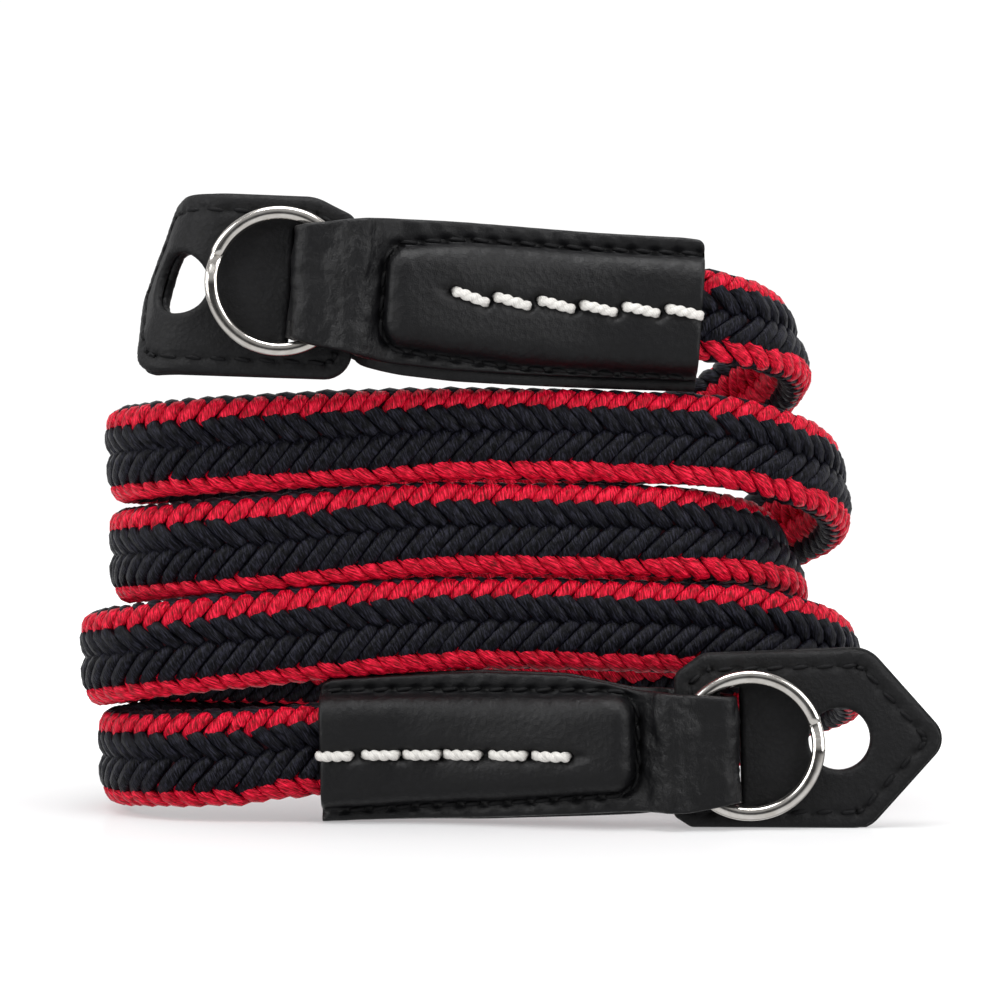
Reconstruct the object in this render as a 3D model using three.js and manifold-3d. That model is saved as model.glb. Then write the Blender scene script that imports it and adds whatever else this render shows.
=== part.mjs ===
// Coiled silk camera strap: a flat braided cord in four stacked turns, a stitched leather end on
// each end of it, and at each leather end a split ring and a leather ring guard.
// Millimetres. +Z up, the coil's front faces -Y, the cord's straight front runs lie along X.
import * as THREE from 'three';
import { mergeVertices } from 'three/addons/utils/BufferGeometryUtils.js';
import Module from 'manifold-3d';

const wasm = await Module();
wasm.setup();

// Cord
const cordWidth = 10.2;
const cordThickness = 4.6;
const coilHalfLength = 44;
const coilDepth = 33;
const bendReach = 15.5;
const backBow = 1.4;
const looseGap = 1.4;
const snugGap = 0.45;

// Leather ends
const wall = 1.3;
const clearance = 0.3;
const seamMargin = 1.7;
const sleeveLength = 35;
const forkLength = 4;
const neckHeight = 13.4;
const cordTuck = 30;
const endRise = 0.25;
const lowerMouthShare = 0.48;
const forwardStart = 0.2;
const forwardSpan = 0.78;
const loopShortfall = 0.15;
const domeSquareness = 6;

// Split rings
const ringRadius = 8.25;
const ringWire = 1.5;
const ringDepth = 2;

// Ring guards
const guardLength = 29.3;
const guardHeight = 19.6;
const guardThickness = 2;
const guardTipLength = 8;
const guardTipHeight = 5;
const guardCorner = 2.2;
const lugHole = 6.9;
const lugHoleFromBase = 18.3;
const guardStandOff = 2.6;
const tipRounding = 0.55;
const tipRoundStart = 0.75;
const foldRadius = 3.4;
const foldAngle = THREE.MathUtils.degToRad(104);
const foldFromBase = 16.9;
const foldSlant = THREE.MathUtils.degToRad(16.6);
const foldHoleShift = 0.2;

const SIDES_ROUND = 36;
const HOLE_SIDES = 28;
const up = new THREE.Vector3(0, 0, 1);

// One row for each turn of the coil, from the lower leather end upwards. left, right and back are
// shares of coilHalfLength and coilDepth. The other columns say how far the cord has climbed from
// the level of its loose back run towards that of a front run: its own on the left, and on the
// right, from the start of the bend to its end, that of the next turn. lean is how far the cord's
// upper edge tips inwards in the right bend, in degrees.
const turns = [
  { left: -1.023, right: 0.920, back: 1.03, frontLeft: 0.64, leftEnd: 0.12, backLeft: 0.00,
    bend: [0.10, 0.38, 0.59, 0.81, 0.955], lean: 8 },
  { left: -1.068, right: 0.743, back: 0.97, frontLeft: 0.66, leftEnd: 0.22, backLeft: 0.15,
    bend: [0.05, 0.28, 0.69, 0.90, 0.98], lean: 28 },
  { left: -0.995, right: 0.884, back: 1.08, frontLeft: 0.64, leftEnd: 0.29, backLeft: 0.20,
    bend: [0.07, 0.30, 0.54, 0.79, 0.95], lean: 8 },
  { left: -1.002, right: 0.759, back: 1.00, frontLeft: 0.74, leftEnd: 0.42, backLeft: 0.30,
    bend: [0.20, 0.50, 0.76, 0.90, 1.00], lean: 16 },
];

// The two leather ends. side is the way the end points along X, mouth the X of the cord's exit.
const ends = {
  lower: { side: 1, mouth: -20.1, tilt: 1.3, sleeve: 16.5, shorter: 0, guardTilt: 0 },
  upper: { side: -1, mouth: 22.5, tilt: 3.8, sleeve: 17.0, shorter: 0.8, guardTilt: 1.7 },
};

// The sleeve's outline, a row for each section: where it lies along the sleeve, its half height and
// the height and bulge of its dome over the cord, as shares of the sleeve's own sizes.
const sleeveRows = [
  { along: 0.00, height: 0.93, dome: 1.00, bulge: 1.00 },
  { along: 0.14, height: 0.965, dome: 1.00, bulge: 1.00 },
  { along: 0.34, height: 1.00, dome: 1.00, bulge: 1.00 },
  { along: 0.60, height: 1.00, dome: 1.00, bulge: 1.00 },
  { along: 0.80, height: 0.97, dome: 1.00, bulge: 1.00 },
  { along: 0.90, height: 0.94, dome: 0.97, bulge: 0.96 },
  { along: 0.95, height: 0.905, dome: 0.90, bulge: 0.72 },
  { along: 0.98, height: 0.88, dome: 0.84, bulge: 0.38 },
  { along: 1.00, height: 0.85, dome: 0.80, bulge: 0.06 },
];

// Levels that follow from the sizes above
const cordHalf = cordWidth / 2;
const ringInner = ringRadius - ringWire;
const loopGap = Math.max(guardThickness, ringDepth) + 1.5 * clearance;
const loopForward = cordThickness / 2 + guardStandOff + guardThickness + clearance / 2;
const domeHalf = cordThickness / 2 + clearance + wall;
const lowerSleeveTop = endRise + ends.lower.sleeve;
const looseLevel = (turn) => cordHalf + turn * (cordWidth + looseGap);
const snugLevel = (turn) => lowerSleeveTop + cordHalf + snugGap + (turn - 1) * (cordWidth + snugGap);
ends.lower.mouthZ = endRise + lowerMouthShare * ends.lower.sleeve;
ends.upper.mouthZ = snugLevel(3) - snugGap + cordHalf + clearance + ends.upper.sleeve / 2;

const smooth = (t) => {
  const x = THREE.MathUtils.clamp(t, 0, 1);
  return x * x * (3 - 2 * x);
};

// Distances along a leather end, measured from the cord's exit
function stations(end) {
  const sleeveEnd = sleeveLength - end.shorter;
  const forkEnd = sleeveEnd + forkLength;
  const ringCentre = forkEnd + clearance + ringRadius;
  const tip = ringCentre - loopShortfall * ringRadius;
  const tipHalf = Math.sqrt(ringInner ** 2 - (ringCentre - tip + wall) ** 2) - clearance;
  const guardBase = forkEnd + clearance;
  return { sleeveEnd, forkEnd, ringCentre, tip, tipHalf, guardBase };
}

// How far the mid plane of a leather end has come forward at a distance along it
const forward = (end, along) => {
  const { forkEnd } = stations(end);
  return -loopForward * smooth((along / forkEnd - forwardStart) / forwardSpan);
};

// A point of a leather end's own frame: along it, across its mid plane, and up
function endPoint(end, along, out, height) {
  const tilt = THREE.MathUtils.degToRad(end.tilt);
  const x = end.mouth + end.side * (along * Math.cos(tilt) - height * Math.sin(tilt));
  const z = end.mouthZ + along * Math.sin(tilt) + height * Math.cos(tilt);
  return new THREE.Vector3(x, forward(end, along) + out, z);
}

// Closed solids from sections
function loft(sections) {
  const count = sections[0].length;
  const points = sections.flat();
  const index = [];
  for (let row = 0; row < sections.length - 1; row++) {
    for (let i = 0; i < count; i++) {
      const a = row * count + i;
      const b = row * count + (i + 1) % count;
      index.push(a, b, a + count, b, b + count, a + count);
    }
  }
  const last = (sections.length - 1) * count;
  const middle = (section) => section.reduce((sum, p) => sum.add(p), new THREE.Vector3())
    .divideScalar(count);
  points.push(middle(sections[0]), middle(sections.at(-1)));
  for (let i = 0; i < count; i++) {
    const next = (i + 1) % count;
    index.push(points.length - 2, next, i, points.length - 1, last + i, last + next);
  }
  const geometry = new THREE.BufferGeometry().setFromPoints(points);
  geometry.setIndex(index);
  return outward(geometry);
}

function volume(geometry) {
  const place = geometry.attributes.position;
  const [a, b, c] = [new THREE.Vector3(), new THREE.Vector3(), new THREE.Vector3()];
  let sum = 0;
  for (let i = 0; i < geometry.index.count; i += 3) {
    a.fromBufferAttribute(place, geometry.index.getX(i));
    b.fromBufferAttribute(place, geometry.index.getX(i + 1));
    c.fromBufferAttribute(place, geometry.index.getX(i + 2));
    sum += a.dot(b.cross(c)) / 6;
  }
  return sum;
}

function outward(geometry) {
  if (volume(geometry) < 0) {
    const { array } = geometry.index;
    for (let i = 0; i < array.length; i += 3) {
      [array[i], array[i + 1]] = [array[i + 1], array[i]];
    }
  }
  return geometry;
}

function welded(geometry) {
  geometry.deleteAttribute('normal');
  geometry.deleteAttribute('uv');
  return outward(mergeVertices(geometry, 1e-4));
}

function solid(geometry) {
  return new wasm.Manifold(new wasm.Mesh({
    numProp: 3,
    vertProperties: new Float32Array(geometry.attributes.position.array),
    triVerts: new Uint32Array(geometry.index.array),
  }));
}

function geometryOf(manifold) {
  const mesh = manifold.getMesh();
  const geometry = new THREE.BufferGeometry();
  geometry.setAttribute('position', new THREE.BufferAttribute(mesh.vertProperties, 3));
  geometry.setIndex(new THREE.BufferAttribute(mesh.triVerts, 1));
  return geometry;
}

function mapPoints(geometry, map) {
  const place = geometry.attributes.position;
  const point = new THREE.Vector3();
  for (let i = 0; i < place.count; i++) {
    point.fromBufferAttribute(place, i);
    const moved = map(point);
    place.setXYZ(i, moved.x, moved.y, moved.z);
  }
  return geometry;
}

// The cord's flat section, with a shallow groove along the middle of both faces: a row for each
// corner of one quarter, as shares of half the width and half the thickness
const cordQuarter = [
  { across: 1.00, out: 0.00 },
  { across: 0.92, out: 0.56 },
  { across: 0.70, out: 0.92 },
  { across: 0.36, out: 1.00 },
  { across: 0.00, out: 0.80 },
];

function cordSection(halfWidth, halfThickness) {
  const face = [...cordQuarter, ...cordQuarter.slice(0, 4).reverse().map(
    ({ across, out }) => ({ across: -across, out }))];
  const back = face.slice(1, -1).reverse().map(({ across, out }) => ({ across, out: -out }));
  return [...face, ...back].map(({ across, out }) => [across * halfWidth, out * halfThickness]);
}

// The cord's middle line. A station is turn + part / 4: part 0 to 1 is the front run, 1 to 2 the
// left bend, 2 to 3 the back run and 3 to 4 the right bend, which climbs to the next turn.
const frontStart = (turn) => {
  if (turn === 0) return ends.lower.mouth;
  if (turn === turns.length) return ends.upper.mouth;
  return turns[turn - 1].right * coilHalfLength - bendReach;
};

function plan(turn, part) {
  const { left, right, back } = turns[turn];
  const leftX = left * coilHalfLength;
  const rightX = right * coilHalfLength;
  const half = back * coilDepth / 2;
  const bendX = leftX + bendReach;
  if (part < 1) return [THREE.MathUtils.lerp(frontStart(turn), bendX, part), 0];
  if (part < 2) {
    const angle = (part - 1) * Math.PI;
    return [bendX - bendReach * Math.sin(angle), half * (1 - Math.cos(angle))];
  }
  const turnX = frontStart(turn + 1);
  if (part < 3) {
    const share = part - 2;
    return [THREE.MathUtils.lerp(bendX, turnX, share),
      2 * half + backBow * Math.sin(Math.PI * share) ** 2];
  }
  const angle = (part - 3) * Math.PI;
  return [turnX + (rightX - turnX) * Math.sin(angle), half * (1 + Math.cos(angle))];
}

// Heights at the named stations of every turn, joined by a smooth curve through them
function levelKnots() {
  const knots = [];
  turns.forEach((row, turn) => {
    const loose = looseLevel(turn);
    const own = turn === 0 ? ends.lower.mouthZ : snugLevel(turn);
    const next = turn === turns.length - 1 ? ends.upper.mouthZ : snugLevel(turn + 1);
    const mix = (level, share) => THREE.MathUtils.lerp(loose, level, share);
    if (turn === 0) knots.push([0, own]);
    else knots.push([turn * 4 + 0.5, own]);
    knots.push([turn * 4 + 1, mix(own, row.frontLeft)]);
    knots.push([turn * 4 + 1.5, mix(own, row.leftEnd)]);
    knots.push([turn * 4 + 2, mix(own, row.backLeft)]);
    knots.push([turn * 4 + 2.5, loose]);
    row.bend.forEach((share, i) => knots.push([turn * 4 + 3 + i / 4, mix(next, share)]));
  });
  return knots;
}

const knots = levelKnots();
const rate = (i) => (knots[i + 1][1] - knots[i][1]) / (knots[i + 1][0] - knots[i][0]);

// The slope at a knot, level where the heights turn, so that the cord never dips below a knot
const slope = (i) => {
  if (i === 0 || i === knots.length - 1) return rate(Math.min(i, knots.length - 2));
  const [before, after] = [rate(i - 1), rate(i)];
  return before * after > 0 ? 2 * before * after / (before + after) : 0;
};

function level(at) {
  let i = 0;
  while (i < knots.length - 2 && knots[i + 1][0] < at) i++;
  const [[x0, y0], [x1, y1]] = [knots[i], knots[i + 1]];
  const span = x1 - x0;
  const t = (at - x0) / span;
  const rise = y1 - y0;
  const [in0, in1] = [slope(i) * span, slope(i + 1) * span];
  return y0 + t * in0 + t * t * (3 * rise - 2 * in0 - in1) + t ** 3 * (in0 + in1 - 2 * rise);
}

const lastStation = turns.length * 4;

// Before station 0 and past the last one the cord runs inside a leather end, tuck by tuck
function cordPoint(at) {
  if (at < 0) return endPoint(ends.lower, -at * cordTuck, 0, 0);
  if (at > lastStation) return endPoint(ends.upper, (at - lastStation) * cordTuck, 0, 0);
  const turn = Math.min(Math.floor(at / 4), turns.length - 1);
  const [x, y] = plan(turn, at - turn * 4);
  return new THREE.Vector3(x, y, level(at));
}

function cordLean(at) {
  const turn = Math.floor(at / 4);
  const part = at - turn * 4;
  if (at < 0 || at >= lastStation || part < 3) return 0;
  return THREE.MathUtils.degToRad(turns[turn].lean) * Math.sin((part - 3) * Math.PI) ** 0.8;
}

const BEND_STEPS = 9;
const RUN_STEPS = 4;
const TUCK_STEPS = 5;
const POCKET_STEPS = 8;

function cordStations() {
  const list = [];
  for (let i = TUCK_STEPS; i > 0; i--) list.push(-i / TUCK_STEPS);
  for (let part = 0; part < lastStation; part++) {
    const steps = part % 2 === 0 ? RUN_STEPS : BEND_STEPS;
    for (let i = 0; i < steps; i++) list.push(part + i / steps);
  }
  for (let i = 0; i <= TUCK_STEPS; i++) list.push(lastStation + i / TUCK_STEPS);
  return list;
}

function cordSolid() {
  const outline = cordSection(cordHalf, cordThickness / 2);
  const near = 0.02;
  const sections = cordStations().map((at) => {
    const centre = cordPoint(at);
    const along = cordPoint(at + near).sub(cordPoint(at - near)).normalize();
    const across = up.clone().addScaledVector(along, -up.dot(along)).normalize();
    across.applyAxisAngle(along, cordLean(at));
    const out = new THREE.Vector3().crossVectors(along, across);
    return outline.map(([a, b]) => centre.clone().addScaledVector(across, a)
      .addScaledVector(out, b));
  });
  return loft(sections);
}

// The dome's corners across the sleeve, as shares of its half height
const domeShares = [1, 0.93, 0.8, 0.5, 0];

// Leather end: a sleeve of two layers over the cord, and the loop that they make past it
function sleeveSection(end, row) {
  const half = row.height * end.sleeve / 2;
  const domeHeight = row.dome * (end.sleeve / 2 - seamMargin);
  const along = row.along * stations(end).sleeveEnd;
  const bulge = wall + row.bulge * (domeHalf - wall);
  const front = [[half, 0.55 * wall], [half - 0.2 * wall, wall]];
  domeShares.forEach((share) => {
    front.push([share * domeHeight, wall + (bulge - wall) * (1 - share ** domeSquareness)]);
  });
  const lower = front.slice(0, -1).reverse().map(([height, out]) => [-height, out]);
  const face = [...front, ...lower];
  const back = face.slice().reverse().map(([height, out]) => [height, -out]);
  return [...face, ...back].map(([height, out]) => new THREE.Vector3(along, out, height));
}

function pocket() {
  const halfWidth = cordHalf + clearance;
  const outline = cordSection(halfWidth, cordThickness / 2 + clearance);
  const from = -wall;
  const to = cordTuck + 4 * clearance;
  const sections = [];
  for (let i = 0; i <= POCKET_STEPS; i++) {
    const along = THREE.MathUtils.lerp(from, to, i / POCKET_STEPS);
    sections.push(outline.map(([a, b]) => new THREE.Vector3(along, b, a)));
  }
  return loft(sections);
}

// Seen from above, the loop's inside or outside outline: closed at the fork, blunt at the tip
const forkShares = [0, 0.25, 0.5, 0.75, 1];
const forkInset = { inside: 0.7, outside: -0.6 };
const loopCornerShare = 0.35;

function loopOutline(end, offset) {
  const { sleeveEnd, forkEnd, tip } = stations(end);
  const half = loopGap + offset;
  const endX = tip - wall + offset;
  const corner = loopCornerShare * loopGap + offset;
  const start = sleeveEnd + (offset > 0 ? forkInset.outside : forkInset.inside);
  const path = new THREE.Path();
  const fork = forkShares.map((share) => {
    const x = THREE.MathUtils.lerp(start, forkEnd, share);
    return new THREE.Vector2(x, Math.max(half * smooth(share), offset > 0 ? offset : 0));
  });
  path.moveTo(fork[0].x, -fork[0].y);
  fork.slice(1).forEach((p) => path.lineTo(p.x, -p.y));
  path.lineTo(endX - corner, -half);
  path.absarc(endX - corner, -half + corner, corner, -Math.PI / 2, 0, false);
  path.absarc(endX - corner, half - corner, corner, 0, Math.PI / 2, false);
  fork.slice().reverse().forEach((p) => path.lineTo(p.x, p.y));
  return path.getPoints(4);
}

function loopSolid(end) {
  const { sleeveEnd, tip, tipHalf } = stations(end);
  const shape = new THREE.Shape(loopOutline(end, wall));
  shape.holes.push(new THREE.Path(loopOutline(end, 0)));
  const geometry = welded(new THREE.ExtrudeGeometry(shape, {
    depth: 2, steps: 1, bevelEnabled: false, curveSegments: 4,
  }));
  // the extrusion runs along its own Z from 0 to 2, and becomes the neck's tapering height
  return mapPoints(geometry, (p) => {
    const share = smooth((p.x - sleeveEnd) / (tip - wall - sleeveEnd));
    const half = THREE.MathUtils.lerp(neckHeight / 2, tipHalf, share);
    return new THREE.Vector3(p.x, p.y, (p.z - 1) * half);
  });
}

function leatherEnd(end) {
  const sleeve = solid(loft(sleeveRows.map((row) => sleeveSection(end, row))));
  const body = sleeve.add(solid(loopSolid(end))).subtract(solid(pocket()));
  return outward(mapPoints(geometryOf(body), (p) => endPoint(end, p.x, p.y, p.z)));
}

// Split ring: a round hoop whose flat sides carry rounded edges, its axis along Y
function ringGeometry(end) {
  const bevel = 0.3;
  const [inner, outer, half] = [ringInner, ringRadius, ringDepth / 2];
  const profile = [
    [inner + bevel * ringWire, -half], [outer - bevel * ringWire, -half],
    [outer, -half + bevel * ringDepth], [outer, half - bevel * ringDepth],
    [outer - bevel * ringWire, half], [inner + bevel * ringWire, half],
    [inner, half - bevel * ringDepth], [inner, -half + bevel * ringDepth],
    [inner + bevel * ringWire, -half],
  ].map(([x, y]) => new THREE.Vector2(x, y));
  const geometry = welded(new THREE.LatheGeometry(profile, SIDES_ROUND));
  const { ringCentre } = stations(end);
  const centre = endPoint(end, ringCentre, 0, 0);
  const y = -loopForward - clearance / 2 - ringDepth / 2;
  return geometry.translate(centre.x, y, centre.z);
}

// Ring guard: half height of its outline at a distance from the base, base and tip rounded off
function guardHalf(distance) {
  const shoulder = guardLength - guardTipLength;
  const straight = guardHeight / 2;
  if (distance < guardCorner) {
    const inset = guardCorner - distance;
    return straight - guardCorner + Math.sqrt(Math.max(guardCorner ** 2 - inset ** 2, 0));
  }
  if (distance <= shoulder) return straight;
  const share = (distance - shoulder) / guardTipLength;
  const slant = THREE.MathUtils.lerp(straight, guardTipHeight / 2, share);
  const round = 1 - smooth((share - tipRoundStart) / (1 - tipRoundStart)) * tipRounding;
  return slant * round;
}

// The upper guard's fold: a point of the flat guard, rolled back past a slanting line
function foldedPoint(distance, height, depth) {
  const [cos, sin] = [Math.cos(foldSlant), Math.sin(foldSlant)];
  const past = (distance - foldFromBase) * cos + height * sin;
  if (past <= 0) return [distance, depth, height];
  const radius = foldRadius + guardThickness / 2 - depth;
  const angle = Math.min(past / foldRadius, foldAngle);
  const straight = Math.max(past - foldAngle * foldRadius, 0);
  const reach = radius * Math.sin(angle) + straight * Math.cos(angle);
  const dip = foldRadius + guardThickness / 2 - radius * Math.cos(angle)
    + straight * Math.sin(angle);
  const shift = reach - past;
  return [distance + shift * cos, dip, height + shift * sin];
}

// Where the guard's sections lie: close at its rounded base and tip, and along the fold
const baseShares = [0, 0.16, 0.45, 0.73, 1];
const tipInsets = [1.2, 0.4, 0];
const plainRows = [8, 14];
const finePart = { start: 15.5, folded: 0.9, flat: 2.3 };
const foldColumns = [-0.7, -0.35, 0, 0.35, 0.7];

function guardPlate(folded) {
  const rows = [...baseShares.map((share) => share * guardCorner), ...plainRows];
  const step = folded ? finePart.folded : finePart.flat;
  for (let distance = finePart.start; distance < guardLength; distance += step) {
    rows.push(distance);
  }
  rows.push(...tipInsets.map((inset) => guardLength - inset));
  rows.sort((a, b) => a - b);
  const inner = folded ? foldColumns : [];
  const edge = 0.15 * guardThickness;
  const sections = rows.map((distance) => {
    const half = guardHalf(distance);
    const flat = [edge - half, ...inner.map((share) => share * half), half - edge];
    const front = [[-half, edge], ...flat.map((height) => [height, 0]), [half, edge]];
    const back = front.slice().reverse().map(([height, out]) => [height, guardThickness - out]);
    return [...front, ...back].map(([height, out]) => {
      const place = folded ? foldedPoint(distance, height, out) : [distance, out, height];
      return new THREE.Vector3(...place);
    });
  });
  return loft(sections);
}

function guardGeometry(end, folded) {
  const { guardBase, tip, tipHalf } = stations(end);
  const slitHalf = tipHalf + 1.5 * clearance;
  const lowest = endRise - end.mouthZ - guardBase * Math.sin(THREE.MathUtils.degToRad(end.tilt));
  const centre = folded ? 0 : guardHeight / 2 + lowest - endRise;
  const slit = new THREE.BoxGeometry(wall + 3 * clearance, 3 * guardThickness, 2 * slitHalf);
  slit.rotateY(THREE.MathUtils.degToRad(end.guardTilt - end.tilt));
  slit.translate(tip - wall / 2 - guardBase, 0, -centre);
  const drill = 4 * guardThickness;
  const hole = new THREE.CylinderGeometry(lugHole / 2, lugHole / 2, drill, HOLE_SIDES);
  const holeShift = folded ? foldHoleShift * lugHole : 0;
  hole.translate(lugHoleFromBase - holeShift, guardThickness / 2, 0);
  const plate = solid(guardPlate(folded)).subtract(solid(welded(slit)))
    .subtract(solid(welded(hole)));
  const geometry = geometryOf(plate);
  const tilt = THREE.MathUtils.degToRad(end.guardTilt);
  const base = endPoint(end, guardBase, 0, 0);
  return outward(mapPoints(geometry, (p) => new THREE.Vector3(
    base.x + end.side * (p.x * Math.cos(tilt) - p.z * Math.sin(tilt)),
    -loopForward + clearance / 2 + p.y,
    base.z + centre + p.x * Math.sin(tilt) + p.z * Math.cos(tilt),
  )));
}

// Finishes and assembly
const silk = new THREE.MeshStandardMaterial({ color: 0x8e1226, roughness: 0.55 });
const leather = new THREE.MeshStandardMaterial({ color: 0x17171b, roughness: 0.5 });
const nickel = new THREE.MeshStandardMaterial({ color: 0xc9c7c4, roughness: 0.15, metalness: 1 });

const strap = new THREE.Group();

function addPiece(name, geometry, material) {
  const mesh = new THREE.Mesh(geometry, material.clone());
  mesh.name = name;
  strap.add(mesh);
}

addPiece('strap_cord', cordSolid(), silk);
for (const [place, end] of Object.entries(ends)) {
  addPiece(`leather_end_${place}`, leatherEnd(end), leather);
  addPiece(`ring_${place}`, ringGeometry(end), nickel);
  addPiece(`ring_guard_${place}`, guardGeometry(end, place === 'upper'), leather);
}

// The origin is the middle of the footprint, on the surface that the strap stands on
const box = new THREE.Box3().setFromObject(strap);
const middle = box.getCenter(new THREE.Vector3());
strap.position.set(-middle.x, -middle.y, -box.min.z);

export default strap;
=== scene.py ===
import math

import bmesh
import bpy
import numpy as np
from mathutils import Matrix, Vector, noise


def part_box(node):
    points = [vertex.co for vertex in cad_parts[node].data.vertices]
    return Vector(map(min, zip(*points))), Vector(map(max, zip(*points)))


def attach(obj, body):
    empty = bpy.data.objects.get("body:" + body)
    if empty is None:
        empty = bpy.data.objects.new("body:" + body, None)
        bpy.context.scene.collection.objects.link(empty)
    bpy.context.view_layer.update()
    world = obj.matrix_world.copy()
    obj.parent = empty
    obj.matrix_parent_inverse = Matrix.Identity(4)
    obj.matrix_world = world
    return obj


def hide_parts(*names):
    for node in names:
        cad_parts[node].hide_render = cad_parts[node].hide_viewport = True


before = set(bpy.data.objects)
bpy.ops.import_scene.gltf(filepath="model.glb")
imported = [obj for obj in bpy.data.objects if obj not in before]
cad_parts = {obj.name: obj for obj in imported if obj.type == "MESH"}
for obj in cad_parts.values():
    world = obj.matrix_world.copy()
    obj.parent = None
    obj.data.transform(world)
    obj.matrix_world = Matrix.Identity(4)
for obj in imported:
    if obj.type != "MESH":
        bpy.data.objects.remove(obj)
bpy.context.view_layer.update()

bl_info = {
    "name": "Coiled silk camera strap",
    "version": (1, 0, 0),
    "blender": (4, 5, 0),
    "location": "View3D > Sidebar > Strap",
    "description": "A braided silk strap in a standing coil, with leather ends, split rings and ring guards",
    "category": "Add Mesh",
}

MM = 0.001
PIXELS = 1000
BODY = "root"


# Route of the cord, in the frame that the coil was laid out in. Lengths are in millimetres.

CORD_WIDTH = 10.2
CORD_THICKNESS = 4.6
COIL_HALF_LENGTH = 44
COIL_DEPTH = 33
BEND_REACH = 15.5
BACK_BOW = 1.4
LOOSE_LEVELS = [5.7, 16.1, 28.0, 39.5]  # height of each turn's back run
SNUG_GAP = 0.45
CORD_TUCK = 30
BRAID_TUCK = 26
END_RISE = 0.25
LOWER_MOUTH_SHARE = 0.48

WALL = 1.3
CLEARANCE = 0.3
SLEEVE_LENGTH = 35
FORK_LENGTH = 4
RING_RADIUS = 8.25
RING_WIRE = 1.5
RING_DEPTH = 2
GUARD_STAND_OFF = 2.6
GUARD_THICKNESS = 2
LOOP_SHORTFALL = 0.15
FORWARD_START = 0.2
FORWARD_SPAN = 0.78

# A row for each turn, from the lower leather end upwards. left, right and back are shares of the
# coil's half length and depth. front_left, left_end, back_left and bend are shares of the way up from
# the back run's height to the front run's, before the left bend and round both bends. lean is how far
# the right bend leans in, in degrees.
TURNS = [
    dict(left=-1.023, right=0.920, back=1.03, front_left=0.64, left_end=0.20, back_left=0.18,
         bend=[0.10, 0.38, 0.59, 0.81, 0.955], lean=8),
    dict(left=-1.068, right=0.743, back=0.97, front_left=0.66, left_end=0.22, back_left=0.08,
         bend=[0.05, 0.28, 0.69, 0.90, 0.98], lean=28),
    dict(left=-0.995, right=0.884, back=1.08, front_left=0.64, left_end=0.29, back_left=0.20,
         bend=[0.07, 0.30, 0.54, 0.79, 0.95], lean=8),
    dict(left=-1.002, right=0.759, back=1.00, front_left=0.74, left_end=0.42, back_left=0.30,
         bend=[0.29, 0.55, 0.78, 0.91, 1.00], lean=20),
]
LOWER = dict(name="lower", side=1, mouth=-20.1, tilt=1.3, sleeve=16.5, shorter=0, guard_tilt=0)
UPPER = dict(name="upper", side=-1, mouth=22.5, tilt=3.8, sleeve=17.0, shorter=0.8, guard_tilt=1.7)

# Round the left bends: how far the cord's upper edge leans in, by what share the cord is wider, and
# how many millimetres its pattern is turned round it
LEFT_ROLL = math.radians(-4)
LEFT_GROWTH = 0.06
LEFT_TWIST = 0.35
LEFT_FADE_IN = (0.35, 1.0)
LEFT_FADE_OUT = (2.0, 2.9)
LEAN_POWER = 0.8

CORD_HALF = CORD_WIDTH / 2
LOOP_FORWARD = CORD_THICKNESS / 2 + GUARD_STAND_OFF + GUARD_THICKNESS + CLEARANCE / 2
LAST_STATION = 4 * len(TURNS)


def smooth(t):
    t = np.clip(t, 0, 1)
    return t * t * (3 - 2 * t)


def mix(a, b, share):
    return a + (b - a) * share


def bell(distance, width):
    """1 at no distance, fading over a width."""
    return np.exp(-(distance / width) ** 2)


def flat_bell(distance, width):
    """As bell, with a flatter top and steeper sides."""
    return np.exp(-(distance / width) ** 4)


def squarish(turn, power):
    """Cosine and sine of angles, for a round that is squarer where power is below one."""
    cos, sin = np.cos(turn), np.sin(turn)
    return np.sign(cos) * np.abs(cos) ** power, np.sign(sin) * np.abs(sin) ** power


def unit(vectors):
    return vectors / np.linalg.norm(vectors, axis=-1, keepdims=True)


def lengths_along(line):
    """The length along a line of points, at each of them."""
    steps = np.linalg.norm(np.diff(line, axis=0), axis=1)
    return np.concatenate([[0], np.cumsum(steps)])


def columns_at(at, places, values):
    """Each column of values, looked up at some places along a line."""
    return [np.interp(at, places, column) for column in values.T]


def size_property(name, description, default, least=0.0):
    """A length that a user can change, given here in millimetres."""
    return bpy.props.FloatProperty(name=name, description=description, default=default * MM,
                                   min=least * MM, unit="LENGTH")


def colour_property(name, description, default):
    return bpy.props.FloatVectorProperty(name=name, description=description, default=default,
                                         subtype="COLOR", min=0, max=1)


def snug_level(turn):
    """Height of a front run that is stacked on the runs and the leather end below it."""
    sleeve_top = END_RISE + LOWER["sleeve"]
    return sleeve_top + CORD_HALF + SNUG_GAP + (turn - 1) * (CORD_WIDTH + SNUG_GAP)


LOWER["mouth_z"] = END_RISE + LOWER_MOUTH_SHARE * LOWER["sleeve"]
UPPER["mouth_z"] = snug_level(3) - SNUG_GAP + CORD_HALF + CLEARANCE + UPPER["sleeve"] / 2


def stations(end):
    """Distances along a leather end from the cord's exit: sleeve end, fork end, ring centre, loop tip."""
    sleeve_end = SLEEVE_LENGTH - end["shorter"]
    fork_end = sleeve_end + FORK_LENGTH
    ring_centre = fork_end + CLEARANCE + RING_RADIUS
    return sleeve_end, fork_end, ring_centre, ring_centre - LOOP_SHORTFALL * RING_RADIUS


def forward(end, along):
    """How far a leather end's middle has come forward, from the cord's plane to the ring's."""
    fork_end = stations(end)[1]
    return -LOOP_FORWARD * smooth((along / fork_end - FORWARD_START) / FORWARD_SPAN)


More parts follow.
